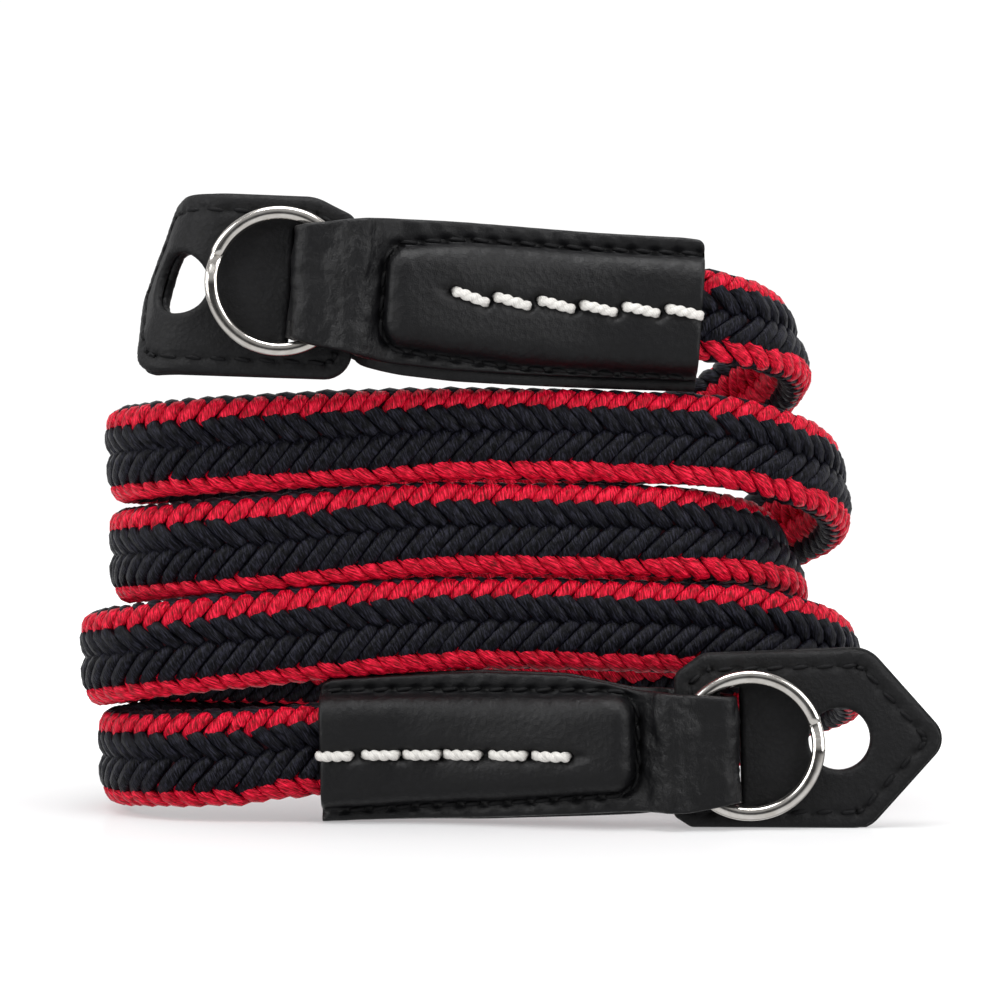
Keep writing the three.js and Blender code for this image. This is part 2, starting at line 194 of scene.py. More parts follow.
def end_point(end, along, out, height):
    """Points of a leather end's own frame, in the frame that the coil was laid out in."""
    tilt = math.radians(end["tilt"])
    x = end["mouth"] + end["side"] * (along * math.cos(tilt) - height * math.sin(tilt))
    z = end["mouth_z"] + along * math.sin(tilt) + height * math.cos(tilt)
    return np.stack(np.broadcast_arrays(x, forward(end, along) + out, z), axis=-1)


def ring_centre_point(end):
    """The middle of an end's ring, in the frame that the coil was laid out in."""
    centre = end_point(end, np.float64(stations(end)[2]), 0.0, 0.0)
    centre[1] = -LOOP_FORWARD - CLEARANCE / 2 - RING_DEPTH / 2
    return centre


def frame_shift():
    """From the frame that the coil was laid out in to the part's own, by the lower ring's place."""
    low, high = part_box("ring_lower")
    return np.array((low + high) / 2) / MM - ring_centre_point(LOWER)


SHIFT = frame_shift()


def front_start(turn):
    """Where a turn's front run starts, along X."""
    if turn == 0:
        return LOWER["mouth"]
    if turn == len(TURNS):
        return UPPER["mouth"]
    return TURNS[turn - 1]["right"] * COIL_HALF_LENGTH - BEND_REACH


def plan(turn, part):
    """Where the cord lies in plan: the front run, the left bend, the back run and the right bend."""
    row = TURNS[turn]
    half = row["back"] * COIL_DEPTH / 2
    bend_x = row["left"] * COIL_HALF_LENGTH + BEND_REACH
    turn_x = front_start(turn + 1)
    angle = (part % 1) * math.pi
    if part < 1:
        return mix(front_start(turn), bend_x, part), 0
    if part < 2:
        return bend_x - BEND_REACH * math.sin(angle), half * (1 - math.cos(angle))
    if part < 3:
        share = part - 2
        return mix(bend_x, turn_x, share), 2 * half + BACK_BOW * math.sin(math.pi * share) ** 2
    angle = (part - 3) * math.pi
    reach = row["right"] * COIL_HALF_LENGTH - turn_x
    return turn_x + reach * math.sin(angle), half * (1 + math.cos(angle))


def level_knots():
    """Stations along the cord, four to a turn, with the cord's height at each."""
    knots = []
    for turn, row in enumerate(TURNS):
        loose = LOOSE_LEVELS[turn]
        own = LOWER["mouth_z"] if turn == 0 else snug_level(turn)
        after = UPPER["mouth_z"] if turn == len(TURNS) - 1 else snug_level(turn + 1)
        knots.append((0, own) if turn == 0 else (turn * 4 + 0.5, own))
        knots.append((turn * 4 + 1, mix(loose, own, row["front_left"])))
        knots.append((turn * 4 + 1.5, mix(loose, own, row["left_end"])))
        knots.append((turn * 4 + 2, mix(loose, own, row["back_left"])))
        knots.append((turn * 4 + 2.5, loose))
        for i, share in enumerate(row["bend"]):
            knots.append((turn * 4 + 3 + i / 4, mix(loose, after, share)))
    return knots


KNOTS = level_knots()


def rate(i):
    """The steepness between a knot and the next one."""
    return (KNOTS[i + 1][1] - KNOTS[i][1]) / (KNOTS[i + 1][0] - KNOTS[i][0])


def slope(i):
    """The steepness at a knot, level at a crest so that the height never overshoots."""
    if i in (0, len(KNOTS) - 1):
        return rate(min(i, len(KNOTS) - 2))
    before, after = rate(i - 1), rate(i)
    return 2 * before * after / (before + after) if before * after > 0 else 0


def level(at):
    """The cord's height at a station."""
    i = 0
    while i < len(KNOTS) - 2 and KNOTS[i + 1][0] < at:
        i += 1
    (x0, y0), (x1, y1) = KNOTS[i], KNOTS[i + 1]
    span = x1 - x0
    t = (at - x0) / span
    rise = y1 - y0
    in0, in1 = slope(i) * span, slope(i + 1) * span
    return y0 + t * in0 + t * t * (3 * rise - 2 * in0 - in1) + t ** 3 * (in0 + in1 - 2 * rise)


def cord_point(at):
    """The cord's middle at a station. Beyond the first and last ones it runs on into the leather."""
    if at < 0:
        return end_point(LOWER, np.float64(-at * CORD_TUCK), 0.0, 0.0)
    if at > LAST_STATION:
        return end_point(UPPER, np.float64((at - LAST_STATION) * CORD_TUCK), 0.0, 0.0)
    turn = min(int(at // 4), len(TURNS) - 1)
    x, y = plan(turn, at - turn * 4)
    return np.array((x, y, level(at)))


def left_share(at):
    """1 round a left bend, down to 0 along the runs on both sides of it."""
    part = at % 4
    inside = 0 <= at < LAST_STATION
    (start, full), (fading, gone) = LEFT_FADE_IN, LEFT_FADE_OUT
    share = smooth((part - start) / (full - start)) * smooth((gone - part) / (gone - fading))
    return float(share) * inside


def cord_lean(at):
    """How far the cord's upper edge leans in: in the right bends, and a little round the left ones."""
    turn = int(at // 4)
    part = at - turn * 4
    if at < 0 or at >= LAST_STATION or part < 3:
        return LEFT_ROLL * left_share(at)
    return math.radians(TURNS[turn]["lean"]) * math.sin((part - 3) * math.pi) ** LEAN_POWER


class Route:
    """The cord's middle line with its upward and outward directions, looked up by length along it."""

    SAMPLES = 4000

    def __init__(self, tuck):
        share = tuck / CORD_TUCK
        at = np.linspace(-share, LAST_STATION + share, self.SAMPLES)
        self.points = np.array([cord_point(x) for x in at]) + SHIFT
        self.lengths = lengths_along(self.points)
        along = unit(np.gradient(self.points, self.lengths, axis=0))
        across = unit(np.array((0, 0, 1)) - along * along[:, 2:])
        outward = np.cross(across, along)
        lean = np.array([cord_lean(x) for x in at])[:, None]
        left = np.array([left_share(x) for x in at])
        self.twist = LEFT_TWIST * left
        growth = 1 + LEFT_GROWTH * left[:, None]
        self.across = (across * np.cos(lean) - outward * np.sin(lean)) * growth
        self.outward = outward * np.cos(lean) + across * np.sin(lean)

    @property
    def length(self):
        return self.lengths[-1]

    def at(self, values, s):
        return np.stack(columns_at(s, self.lengths, values), axis=-1)

    def place(self, s, across, out):
        """Points at a length along the cord, a height across it and a distance outwards."""
        return (self.at(self.points, s) + across[..., None] * self.at(self.across, s)
                + out[..., None] * self.at(self.outward, s))


# Meshes


def finish_piece(name, mesh, replaces=(), smooth_angle=None):
    """Turns a mesh into a piece that rides on the strap's one body."""
    mesh.name = name
    piece = bpy.data.objects.new(name, mesh)
    bpy.context.scene.collection.objects.link(piece)
    mesh.polygons.foreach_set("use_smooth", [True] * len(mesh.polygons))
    if smooth_angle is not None:
        mesh.set_sharp_from_angle(angle=math.radians(smooth_angle))
    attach(piece, BODY)
    if replaces:
        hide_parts(*replaces)
    return piece


def tubes_mesh(points, uvs):
    """One mesh of many closed tubes. points is tubes by rings by sides, in millimetres, and uvs the
    same with one more side, where the seam closes."""
    count, rings, sides = points.shape[:3]
    ring = np.arange(rings - 1)[:, None]
    side = np.arange(sides)[None, :]
    after = (side + 1) % sides
    quads = np.stack([ring * sides + side, ring * sides + after,
                      (ring + 1) * sides + after, (ring + 1) * sides + side], axis=-1).reshape(-1, 4)
    first_cap = np.arange(sides)[::-1]
    last_cap = (rings - 1) * sides + np.arange(sides)
    corner_ring = np.concatenate([
        np.stack([ring + 0 * side, ring + 0 * side, ring + 1 + 0 * side, ring + 1 + 0 * side],
                 axis=-1).reshape(-1), np.zeros(sides, int), np.full(sides, rings - 1)])
    corner_side = np.concatenate([
        np.stack([side + 0 * ring, side + 1 + 0 * ring, side + 1 + 0 * ring, side + 0 * ring],
                 axis=-1).reshape(-1), first_cap, np.arange(sides)])
    loops_one = np.concatenate([quads.reshape(-1), first_cap, last_cap])
    sizes_one = np.concatenate([np.full(len(quads), 4), [sides, sides]])
    shift = (np.arange(count) * rings * sides)[:, None]
    loops = (loops_one[None, :] + shift).reshape(-1)
    sizes = np.tile(sizes_one, count)
    starts = np.concatenate([[0], np.cumsum(sizes)[:-1]])
    mesh = bpy.data.meshes.new("tubes")
    mesh.vertices.add(count * rings * sides)
    mesh.vertices.foreach_set("co", (points * MM).astype(np.float32).reshape(-1))
    mesh.loops.add(len(loops))
    mesh.loops.foreach_set("vertex_index", loops.astype(np.int32))
    mesh.polygons.add(len(sizes))
    mesh.polygons.foreach_set("loop_start", starts.astype(np.int32))
    layer = mesh.uv_layers.new(name="fibre")
    layer.data.foreach_set("uv", uvs[:, corner_ring, corner_side].astype(np.float32).reshape(-1))
    mesh.update(calc_edges=True)
    mesh.validate()
    return mesh


def sweep(centres, wide, thick, half_width, half_thickness, sides, fibre_angle=0.0, offsets=None,
          fullness=1.0):
    """Tubes of oval section along lines of points. wide and thick are the section's directions.
    The section is squarer where fullness is below one."""
    count = len(centres)
    side, rise = squarish(np.arange(sides) / sides * 2 * math.pi - math.pi / 2, fullness)
    side_part = (side * half_width[..., None])[..., None] * wide[..., None, :]
    rise_part = (rise * half_thickness[..., None])[..., None] * thick[..., None, :]
    points = centres[..., None, :] + side_part + rise_part
    steps = np.linalg.norm(np.diff(centres, axis=1), axis=-1)
    run = np.concatenate([np.zeros((count, 1)), np.cumsum(steps, axis=1)], axis=1)
    girth = math.pi * (half_width.max() + half_thickness.max())
    around = np.arange(sides + 1) / sides * girth
    u = run[..., None] + 0 * around
    v = around + 0 * run[..., None]
    cos, sin = math.cos(fibre_angle), math.sin(fibre_angle)
    uvs = np.stack([u * cos - v * sin, u * sin + v * cos], axis=-1)
    if offsets is not None:
        uvs = uvs + offsets[:, None, None, :]
    return tubes_mesh(points, uvs)


def boundary_loops(bm):
    """The open edges of a mesh, sorted into the loops that they make."""
    left = dict.fromkeys(edge for edge in bm.edges if edge.is_boundary)
    loops = []
    while left:
        stack = [left.popitem()[0]]
        loop = list(stack)
        while stack:
            for vert in stack.pop().verts:
                for edge in vert.link_edges:
                    if edge in left:
                        del left[edge]
                        stack.append(edge)
                        loop.append(edge)
        loops.append(loop)
    return loops


def tube_bmesh(points, masks=None):
    """A grid wrapped into a tube through rings of points, in millimetres, with its ends filled.
    masks are values for each point that a material reads."""
    rings, sides = points.shape[:2]
    bm = bmesh.new()
    bmesh.ops.create_grid(bm, x_segments=sides, y_segments=rings - 1, size=1)
    layers = {name: bm.verts.layers.float.new(name) for name in masks or {}}
    for vert in bm.verts:
        side = round((vert.co.x + 1) / 2 * sides) % sides
        ring = round((vert.co.y + 1) / 2 * (rings - 1))
        vert.co = Vector(points[ring, side] * MM)
        for name, layer in layers.items():
            vert[layer] = masks[name][ring, side]
    bmesh.ops.remove_doubles(bm, verts=bm.verts, dist=1e-7)
    for loop in boundary_loops(bm):
        bmesh.ops.triangle_fill(bm, edges=loop, use_beauty=True)
    bmesh.ops.recalc_face_normals(bm, faces=bm.faces)
    return bm


def mesh_of(bm, name):
    mesh = bpy.data.meshes.new(name)
    bm.to_mesh(mesh)
    bm.free()
    return mesh


# Materials


class Socket:
    """A shader socket that adds, subtracts, multiplies and divides as a number does."""

    def __init__(self, shader, socket):
        self.shader = shader
        self.socket = socket

    def __add__(self, other):
        return self.shader.maths("ADD", self, other)

    def __radd__(self, other):
        return self.shader.maths("ADD", other, self)

    def __sub__(self, other):
        return self.shader.maths("SUBTRACT", self, other)

    def __rsub__(self, other):
        return self.shader.maths("SUBTRACT", other, self)

    def __mul__(self, other):
        return self.shader.maths("MULTIPLY", self, other)

    def __rmul__(self, other):
        return self.shader.maths("MULTIPLY", other, self)

    def __truediv__(self, other):
        return self.shader.maths("DIVIDE", self, other)

    def __rtruediv__(self, other):
        return self.shader.maths("DIVIDE", other, self)


class Nodes:
    """A node tree whose nodes all come from one method."""

    def __init__(self, tree):
        self.tree = tree

    def node(self, kind, settings, inputs, output=0):
        node = self.tree.nodes.new(kind)
        for name, value in settings.items():
            if name == "stops":
                self.set_stops(node.color_ramp, value)
            else:
                setattr(node, name, value)
        for key, value in inputs.items():
            socket = self.pick(node.inputs, key)
            if isinstance(value, Socket):
                self.tree.links.new(value.socket, socket)
            else:
                socket.default_value = value
        return Socket(self, self.pick(node.outputs, output))

    @staticmethod
    def pick(sockets, key):
        """A socket by its identifier, or else by its name or its place in the list."""
        named = {socket.identifier: socket for socket in sockets}
        return named[key] if key in named else sockets[key]

    @staticmethod
    def set_stops(ramp, stops):
        while len(ramp.elements) < len(stops):
            ramp.elements.new(0.5)
        for element, (place, colour) in zip(ramp.elements, stops):
            element.position = place
            element.color = (*colour, 1)

    def maths(self, operation, a, b):
        return self.node("ShaderNodeMath", {"operation": operation}, {0: a, 1: b})

    def clamp01(self, value):
        return self.node("ShaderNodeClamp", {}, {"Value": value})

    def scaled(self, vector, scale):
        return self.node("ShaderNodeVectorMath", {"operation": "MULTIPLY"},
                         {"Vector": vector, "Vector_001": scale})

    def noise(self, vector, scale, detail=2.0, roughness=0.5):
        return self.node("ShaderNodeTexNoise", {}, {
            "Vector": vector, "Scale": scale, "Detail": detail, "Roughness": roughness})

    def cells(self, vector, scale):
        return self.node("ShaderNodeTexVoronoi", {}, {"Vector": vector, "Scale": scale}, "Distance")

    def object_place(self):
        return self.node("ShaderNodeTexCoord", {}, {}, "Object")

    def fibre_place(self):
        return self.node("ShaderNodeUVMap", {"uv_map": "fibre"}, {})

    def attribute(self, name):
        return self.node("ShaderNodeAttribute", {"attribute_name": name}, {}, "Fac")

    def blend(self, factor, a, b):
        return self.node("ShaderNodeMix", {"data_type": "RGBA"}, {
            "Factor_Float": factor, "A_Color": a, "B_Color": b}, "Result_Color")

    def ramp(self, factor, stops):
        return self.node("ShaderNodeValToRGB", {"stops": stops}, {"Fac": factor}, "Color")

    def bump(self, height, distance, strength=1.0):
        return self.node("ShaderNodeBump", {}, {
            "Height": height, "Distance": distance, "Strength": strength}, "Normal")


class Shader(Nodes):
    """A material on one Principled surface."""

    def __init__(self, name, **surface):
        self.material = bpy.data.materials.new(name)
        self.material.use_nodes = True
        super().__init__(self.material.node_tree)
        self.surface = self.tree.nodes["Principled BSDF"]
        for socket, value in surface.items():
            self.surface.inputs[socket.replace("_", " ")].default_value = value

    def feed(self, **inputs):
        for name, value in inputs.items():
            self.tree.links.new(value.socket, self.surface.inputs[name.replace("_", " ")])
        return self.material


def silk_material(name, deep, body, light, gloss):
    """Satin silk: fine threads along the strand's fibre map. Its colour runs over random fibre tone from a
    deep colour to a light one: the light end is painted highlight on the raised fibres and the deep end
    painted shade in the grooves between them.
    """
    shader = Shader(name, Specular_IOR_Level=gloss)
    place = shader.fibre_place()
    threads = shader.noise(shader.scaled(place, (1.0, 6.2, 1.0)), 1.0, 2.0, 0.6)
    patches = shader.noise(shader.scaled(place, (0.55, 1.2, 1.0)), 1.0, 1.0)
    tone = shader.clamp01((threads - 0.5) * 3.4 + 0.5 + (patches - 0.5) * 0.6)
    # Painted light: raised fibres take the light colour as a highlight, the grooves between them the deep
    # colour as shade.
    colour = shader.ramp(tone, [(0.0, deep), (0.5, body), (1.0, light)])
    ply = shader.noise(shader.scaled(place, (0.35, 3.0, 1.0)), 1.0, 1.0)
    height = threads * 0.65 + ply * 0.35
    return shader.feed(Base_Color=colour, Roughness=0.3 + threads * 0.22,
                       Normal=shader.bump(height, 0.22 * MM, 1.0))


def core_material():
    """The braid's inside, seen only between the strands. Its near-black colour with a little red is painted
    shade in the gaps between them.
    """
    shader = Shader("braid_inside", Specular_IOR_Level=0.2)
    place = shader.object_place()
    # Painted shade: near black with a trace of red, for the shaded strands deep in the gaps.
    colour = shader.ramp(shader.noise(place, 900.0, 2.0), [
        (0.35, (0.004, 0.002, 0.003)), (0.62, (0.03, 0.003, 0.006))])
    return shader.feed(Base_Color=colour, Roughness=0.7 + 0.2 * shader.noise(place, 2500.0))


# Braid

SECTION_SAMPLES = 1440
SECTION_SQUARENESS = 0.76
GROOVE_DEPTH = 0.20
GROOVE_HALF = 1.1

# Where the edges of the columns of strands lie on the two faces, as shares of the cord's half width.
# Edges 0, 4 and 8 are the rims. The black of the inner face comes over the top rim by a little.
EDGE_SHARES = {1: 0.69, 2: 0.09, 3: -0.65, 5: -0.64, 6: 0.0, 7: 0.66}
RIMS = (0, 4, 8)
TOP_EDGE_SHIFT = 0.35


class Section:
    """The cord's flat section as a closed line, looked up by length round it from its top edge.
    It runs down the outer face and back up the inner one. Column edges are numbered from the top."""

    def __init__(self, half_width, half_thickness):
        turn = np.linspace(0, 2 * math.pi, SECTION_SAMPLES + 1)
        cos, sin = squarish(turn, SECTION_SQUARENESS)
        across = half_width * cos
        groove = GROOVE_DEPTH * bell(across - EDGE_SHARES[2] * half_width, GROOVE_HALF)
        self.half_width = half_width
        self.line = np.stack([across, half_thickness * sin * (1 - groove)], axis=-1)
        self.lengths = lengths_along(self.line)
        along = unit(np.gradient(self.line, self.lengths, axis=0))
        self.normals = np.stack([-along[:, 1], along[:, 0]], axis=-1)
        if (self.normals * self.line).sum() < 0:
            self.normals = -self.normals

    @property
    def girth(self):
        return self.lengths[-1]

    def at(self, q):
        """The point and the outward direction at a length round the section."""
        q = np.mod(q, self.girth)
        return columns_at(q, self.lengths, self.line), columns_at(q, self.lengths, self.normals)

    def edge(self, number):
        """Length round the section of a column's edge."""
        top, bottom, top_again = RIMS
        if number in (top, top_again):
            return TOP_EDGE_SHIFT + (0.0 if number == top else self.girth)
        if number == bottom:
            return self.girth / 2
        half = len(self.lengths) // 2
        face = slice(0, half) if number < bottom else slice(half, None)
        away = np.abs(self.line[face, 0] - EDGE_SHARES[number] * self.half_width)
        return self.lengths[face][np.argmin(away)]


# A row for each column of strands, from the top edge down the outer face and up the inner one:
# its colour, the edges that its strands run from and to, and the slant of the fibres on a strand
COLUMNS = [
    dict(name="outer_top", colour="crimson", start=1, end=0, fibre=-58),
    dict(name="outer_upper", colour="black", start=1, end=2, fibre=17),
    dict(name="outer_lower", colour="black", start=3, end=2, fibre=-66),
    dict(name="outer_bottom", colour="crimson", start=3, end=4, fibre=-24),
    dict(name="inner_bottom", colour="black", start=5, end=4, fibre=-58),
    dict(name="inner_lower", colour="crimson", start=5, end=6, fibre=17),
    dict(name="inner_upper", colour="crimson", start=7, end=6, fibre=-66),
    dict(name="inner_top", colour="black", start=7, end=8, fibre=-24),
]

# Stations along a strand as shares of its travel, with shares of its width and thickness there
STRAND_STATIONS = np.array([
    (0, 0.5, 0.6), (0.08, 0.78, 0.85), (0.19, 0.93, 0.97), (0.33, 1, 1), (0.5, 1, 1),
    (0.67, 1, 1), (0.81, 0.93, 0.97), (0.92, 0.76, 0.8), (1, 0.42, 0.5),
])
STRAND_SIDES = 8
STRAND_FULLNESS = 0.84
RIM_HIDDEN_EXTRA = 0.25  # a strand that dives at a rim runs on this much further
STRAND_TUCK = 3.0  # the strands start this far inside the leather
DIRECTION_STEP = 0.05

# How far strands differ from each other in place, size and fibres
PLACE_SPREAD = 0.03
SIZE_SPREAD = 0.035
FIBRE_SPREAD = 60

CORE_INSET = 0.95
CORE_SIDES = 20
CORE_RINGS = 420
PATH_EVERY = 8


def braid_section(settings, inset):
    return Section(settings.width / 2 / MM - inset, settings.thickness / 2 / MM - inset)


def strand_column(column, number, route, section, settings):
    """Every strand of one column: each rises from under its neighbour at the column's red and black
    edge, runs slanting across the column and dives at the other edge."""
    random = np.random.default_rng(number + 1)
    pitch = settings.strand_pitch / MM
    from_edge, to_edge = section.edge(column["start"]), section.edge(column["end"])
    travel = abs(to_edge - from_edge)
    way = np.sign(to_edge - from_edge)
    at_rim = column["end"] in RIMS
    fall_from = (settings.rim_fall_from if at_rim else settings.fall_from) / MM
    hidden_start = settings.hidden_start / MM
    hidden_end = settings.hidden_end / MM + (RIM_HIDDEN_EXTRA if at_rim else 0)
    phase = 0.5 * (number % 2)
    first = BRAID_TUCK - STRAND_TUCK
    count = int((route.length - 2 * first) / pitch)
    starts = first + (np.arange(count) + phase) * pitch + travel * settings.slant
    starts = starts + random.normal(0, PLACE_SPREAD, count) * pitch
    shares, widths, thicknesses = STRAND_STATIONS.T
    progress = -hidden_start + shares * (travel + hidden_start + hidden_end)
    lift = random.normal(0, PLACE_SPREAD, (count, 1))
    swell = 1 + random.normal(0, SIZE_SPREAD, (count, 1))

    def section_at(u):
        s = starts[:, None] - settings.slant * u[None, :]
        twist = np.interp(s, route.lengths, route.twist)
        return s, *section.at(from_edge + way * u + twist)

    def line(u):
        s, (across, out), (n_across, n_out) = section_at(u)
        rise = smooth((u + settings.rise_from / MM) / (settings.rise_over / MM))
        fall = smooth((u - travel + fall_from) / (settings.fall_over / MM))
        depth = lift - (settings.start_depth * (1 - rise) + settings.end_depth * fall) / MM
        return route.place(s, across + n_across * depth, out + n_out * depth)

    def outward_at(u):
        s, _, (n_across, n_out) = section_at(u)
        return unit(n_across[..., None] * route.at(route.across, s)
                    + n_out[..., None] * route.at(route.outward, s))

    along = unit(line(progress + DIRECTION_STEP) - line(progress - DIRECTION_STEP))
    wide = unit(np.cross(along, outward_at(progress)))
    thick = unit(np.cross(wide, along))
    half_width = settings.strand_width / MM / 2 * widths * swell
    half_thickness = settings.strand_thickness / MM / 2 * thicknesses * swell
    offsets = random.uniform(0, FIBRE_SPREAD, (count, 2))
    return sweep(line(progress), wide, thick, half_width, half_thickness, STRAND_SIDES,
                 math.radians(column["fibre"]), offsets, STRAND_FULLNESS)


class STRAP_PG_braid(bpy.types.PropertyGroup):
    width: size_property("Width", "Width of the flat cord over its strands", 10.6, 4)
    thickness: size_property("Thickness", "Thickness of the flat cord over its strands", 4.75, 2)
    strand_pitch: size_property(
        "Strand pitch", "Length of cord from one strand to the next in its column", 2.27, 1)
    strand_width: size_property("Strand width", "Width of one strand", 1.76, 0.5)
    strand_thickness: size_property("Strand thickness", "Thickness of one strand", 1.24, 0.3)
    slant: bpy.props.FloatProperty(
        name="Slant", description="How far a strand runs along the cord for its travel across it",
        default=1.06, min=0.1)
    hidden_start: size_property(
        "Hidden start", "Travel of a strand under its neighbour before it shows", 0.85)
    hidden_end: size_property(
        "Hidden end", "Travel of a strand after it has dived under its neighbour", 0.45)
    rise_from: size_property("Rise from", "Travel before the column's edge where a strand rises", 0.75)
    rise_over: size_property("Rise over", "Travel over which a strand rises", 1.35, 0.1)
    fall_from: size_property("Fall from", "Travel before the column's edge where a strand dives", 0.75)
    rim_fall_from: size_property("Rim fall from", "Travel before a rim where a strand dives", 0.35)
    fall_over: size_property("Fall over", "Travel over which a strand dives", 1.25, 0.1)
    start_depth: size_property("Start depth", "How deep a strand starts", 0.85)
    end_depth: size_property("End depth", "How deep a strand ends", 0.9)
    crimson: colour_property("Crimson", "Main colour of the red strands", (0.43, 0.0008, 0.015))
    black: colour_property("Black", "Main colour of the black strands", (0.003, 0.003, 0.0052))


class STRAP_OT_braid(bpy.types.Operator):
    """Makes the braided cord: its inside and its eight columns of strands"""

    bl_idname = "strap.braid"
    bl_label = "Braided cord"

    def execute(self, context):
        settings = context.scene.strap_braid
        route = Route(BRAID_TUCK)
        core = self.make_core(settings, route)
        section = braid_section(settings, settings.strand_thickness / 2 / MM)
        # For each silk: the deep colour is painted shade in the fibres' grooves, then the main colour, then
        # the light colour as painted highlight on the raised fibres.
        silks = {
            "crimson": silk_material("crimson_silk", (0.12, 0.0003, 0.003), tuple(settings.crimson),
                                     (0.88, 0.016, 0.055), 0.13),
            "black": silk_material("black_silk", (0.0006, 0.0006, 0.0009), tuple(settings.black),
                                   (0.019, 0.019, 0.030), 0.11),
        }
        for number, column in enumerate(COLUMNS):
            mesh = strand_column(column, number, route, section, settings)
            piece = finish_piece("strands_" + column["name"], mesh, ["strap_cord"])
            piece.data.materials.append(silks[column["colour"]])
        path = route.points[::PATH_EVERY] * MM
        tuple(cord_point(0) * MM + SHIFT * MM)
        return {"FINISHED"}

    @staticmethod
    def make_core(settings, route):
        section = braid_section(settings, CORE_INSET)
        around = np.arange(CORE_SIDES + 1) / CORE_SIDES * section.girth
        (across, out), _ = section.at(around[:-1])
        s = np.linspace(0, route.length, CORE_RINGS)[:, None]
        points = route.place(s + 0 * across, across + 0 * s, out + 0 * s)
        uvs = np.stack([s + 0 * around, around + 0 * s], axis=-1)
        core = finish_piece("braid_inside", tubes_mesh(points[None], uvs[None]),
                            ["strap_cord"])
        core.data.materials.append(core_material())
        return core


# Leather ends


LINE_STEP = 0.25
LINE_SOFTNESS = 2.0


def line_through(rows):
    """A softened line through rows of distance and height, in millimetres."""
    at = np.arange(-6, 60, LINE_STEP)
    places, values = zip(*rows)
    kernel = np.hanning(int(LINE_SOFTNESS / LINE_STEP) * 2 + 1)
    kernel = kernel / kernel.sum()
    line = np.interp(at, places, values)
    padded = np.pad(line, len(kernel) // 2, mode="edge")
    soft = np.convolve(padded, kernel, mode="valid")
    return lambda x: np.interp(x, at, soft)


def rounded(distance, radius):
    """How far a surface falls at a distance from an edge that is rounded off."""
    inset = 1 - np.clip(distance / radius, 0, 1)
    return radius * (1 - np.sqrt(1 - inset ** 2))


# Outlines of the two leather ends as heights above their middle line, at distances from the mouth.
# hand gives the distance from the mouth, the height and the slant in degrees of each hand stitch.
LEATHER_SHAPES = {
    "lower": dict(
        top=[(0, 7.8), (18, 8.45), (28, 8.0), (32, 7.2), (35, 6.35), (40, 5.9), (46.5, 5.4)],
        bottom=[(0, -8.05), (18, -7.85), (35, -7.0), (41, -7.1), (44, -6.5), (46.5, -6.15)],
        back_top=[(0, 8.0), (18, 8.6), (28, 8.2), (35, 6.6), (40, 6.1), (46.5, 5.4)],
        back_bottom=[(0, -8.1), (18, -8.1), (35, -7.4), (41, -7.2), (44, -6.5), (46.5, -6.15)],
        mouth_corner=1.8,
        dome_top=[(0, 6.2), (14.6, 6.07), (31, 5.9), (36, 5.8)],
        dome_bottom=[(0, -6.5), (20, -5.7), (31, -4.9), (36, -4.7)],
        dome_end=34.9,
        hand=[(1.6, -0.55, -1), (6.8, -0.55, -2), (11.4, -0.6, -1), (15.95, -0.62, -2),
              (21.0, -0.66, -1), (25.75, -0.74, -2)],
        hand_hole=(28.9, -0.75)),
    "upper": dict(
        top=[(0, 8.2), (2, 8.4), (27, 8.05), (35, 7.75), (40, 7.1), (44, 6.4), (46.5, 6.1)],
        bottom=[(0, -7.5), (20, -8.2), (27, -8.4), (35, -8.1), (40, -7.1), (43, -6.8), (45, -6.25),
                (46.5, -6.2)],
        back_top=[(0, 8.1), (27, 7.9), (35, 7.6), (40, 7.0), (44, 6.4), (46.5, 6.1)],
        back_bottom=[(0, -8.75), (20, -9.4), (27, -9.55), (33.2, -9.3), (36.3, -8.8), (37.9, -8.0),
                     (39.7, -7.3), (42.5, -6.9), (45, -6.25), (46.5, -6.2)],
        mouth_corner=0.9,
        dome_top=[(0, 6.25), (27, 5.7), (33.6, 4.7), (36, 4.5)],
        dome_bottom=[(0, -6.8), (20, -7.1), (34, -6.2), (36, -6.1)],
        dome_end=35.2,
        hand=[(25.8, -0.29, 15), (21.2, -0.39, 11), (16.3, -0.33, 10), (11.55, -0.39, 9),
              (6.8, -0.2, 8), (1.95, -0.12, 8)],
        hand_hole=(28.6, 0.1)),
}

# Sizes of a strip's mesh, in millimetres and in rows
LOOP_CORNER_SHARE = 0.35
DOME_CORNER = 2.5
FORK_LEAD = 0.6
LINE_DETAIL = 0.05
ROW_EDGES = [0, 0.07, 0.19, 0.36, 0.6, 0.9]
STRIP_ROWS = 300
FIRST_ROW = 0.75
OUTER_ROWS = 46
INNER_ROWS = 14
INNER_INSET = 0.1
INNER_SLACK = 0.05
RIM_SHARES = [0.45, 0.75]
MOST_FALL = 1.6
SEARCH_BATCH = 4000

# The relief of a strip: depths and heights, and the widths that they fade over, in millimetres
CROWN_HEIGHT = 0.18
CROWN_HALF = 6
SEAM_START = 2.4
STITCH_LINE = 0.45
SEAM_WIDTH = 0.5
NEEDLE_HOLE_DEPTH = 0.5
NEEDLE_HOLE_LENGTH = 0.55
NEEDLE_HOLE_WIDTH = 0.36
PUCKERS = [(0.09, -1.7, 0.9), (0.05, 0.8, 0.7)]  # height, place and width
HAND_BED_DEPTH = 0.28
HAND_BED_HALF = 1.0
HAND_BED_FADE = 0.9
HAND_BED_SHORTER = 0.3
HAND_HOLE_DEPTH = 1.3
HAND_HOLE_RADIUS = 0.55
HAND_HOLE_BEYOND = 0.12
SPARE_HOLE_DEPTH = 0.55
SPARE_HOLE_HALF = 0.4
NECK_BANDS = [(0.42, 39.4, 1.5), (-0.22, 42.4, 1.3)]  # height, place and width
CREASE_DEPTH = 0.26
CREASED_FROM = 34.5


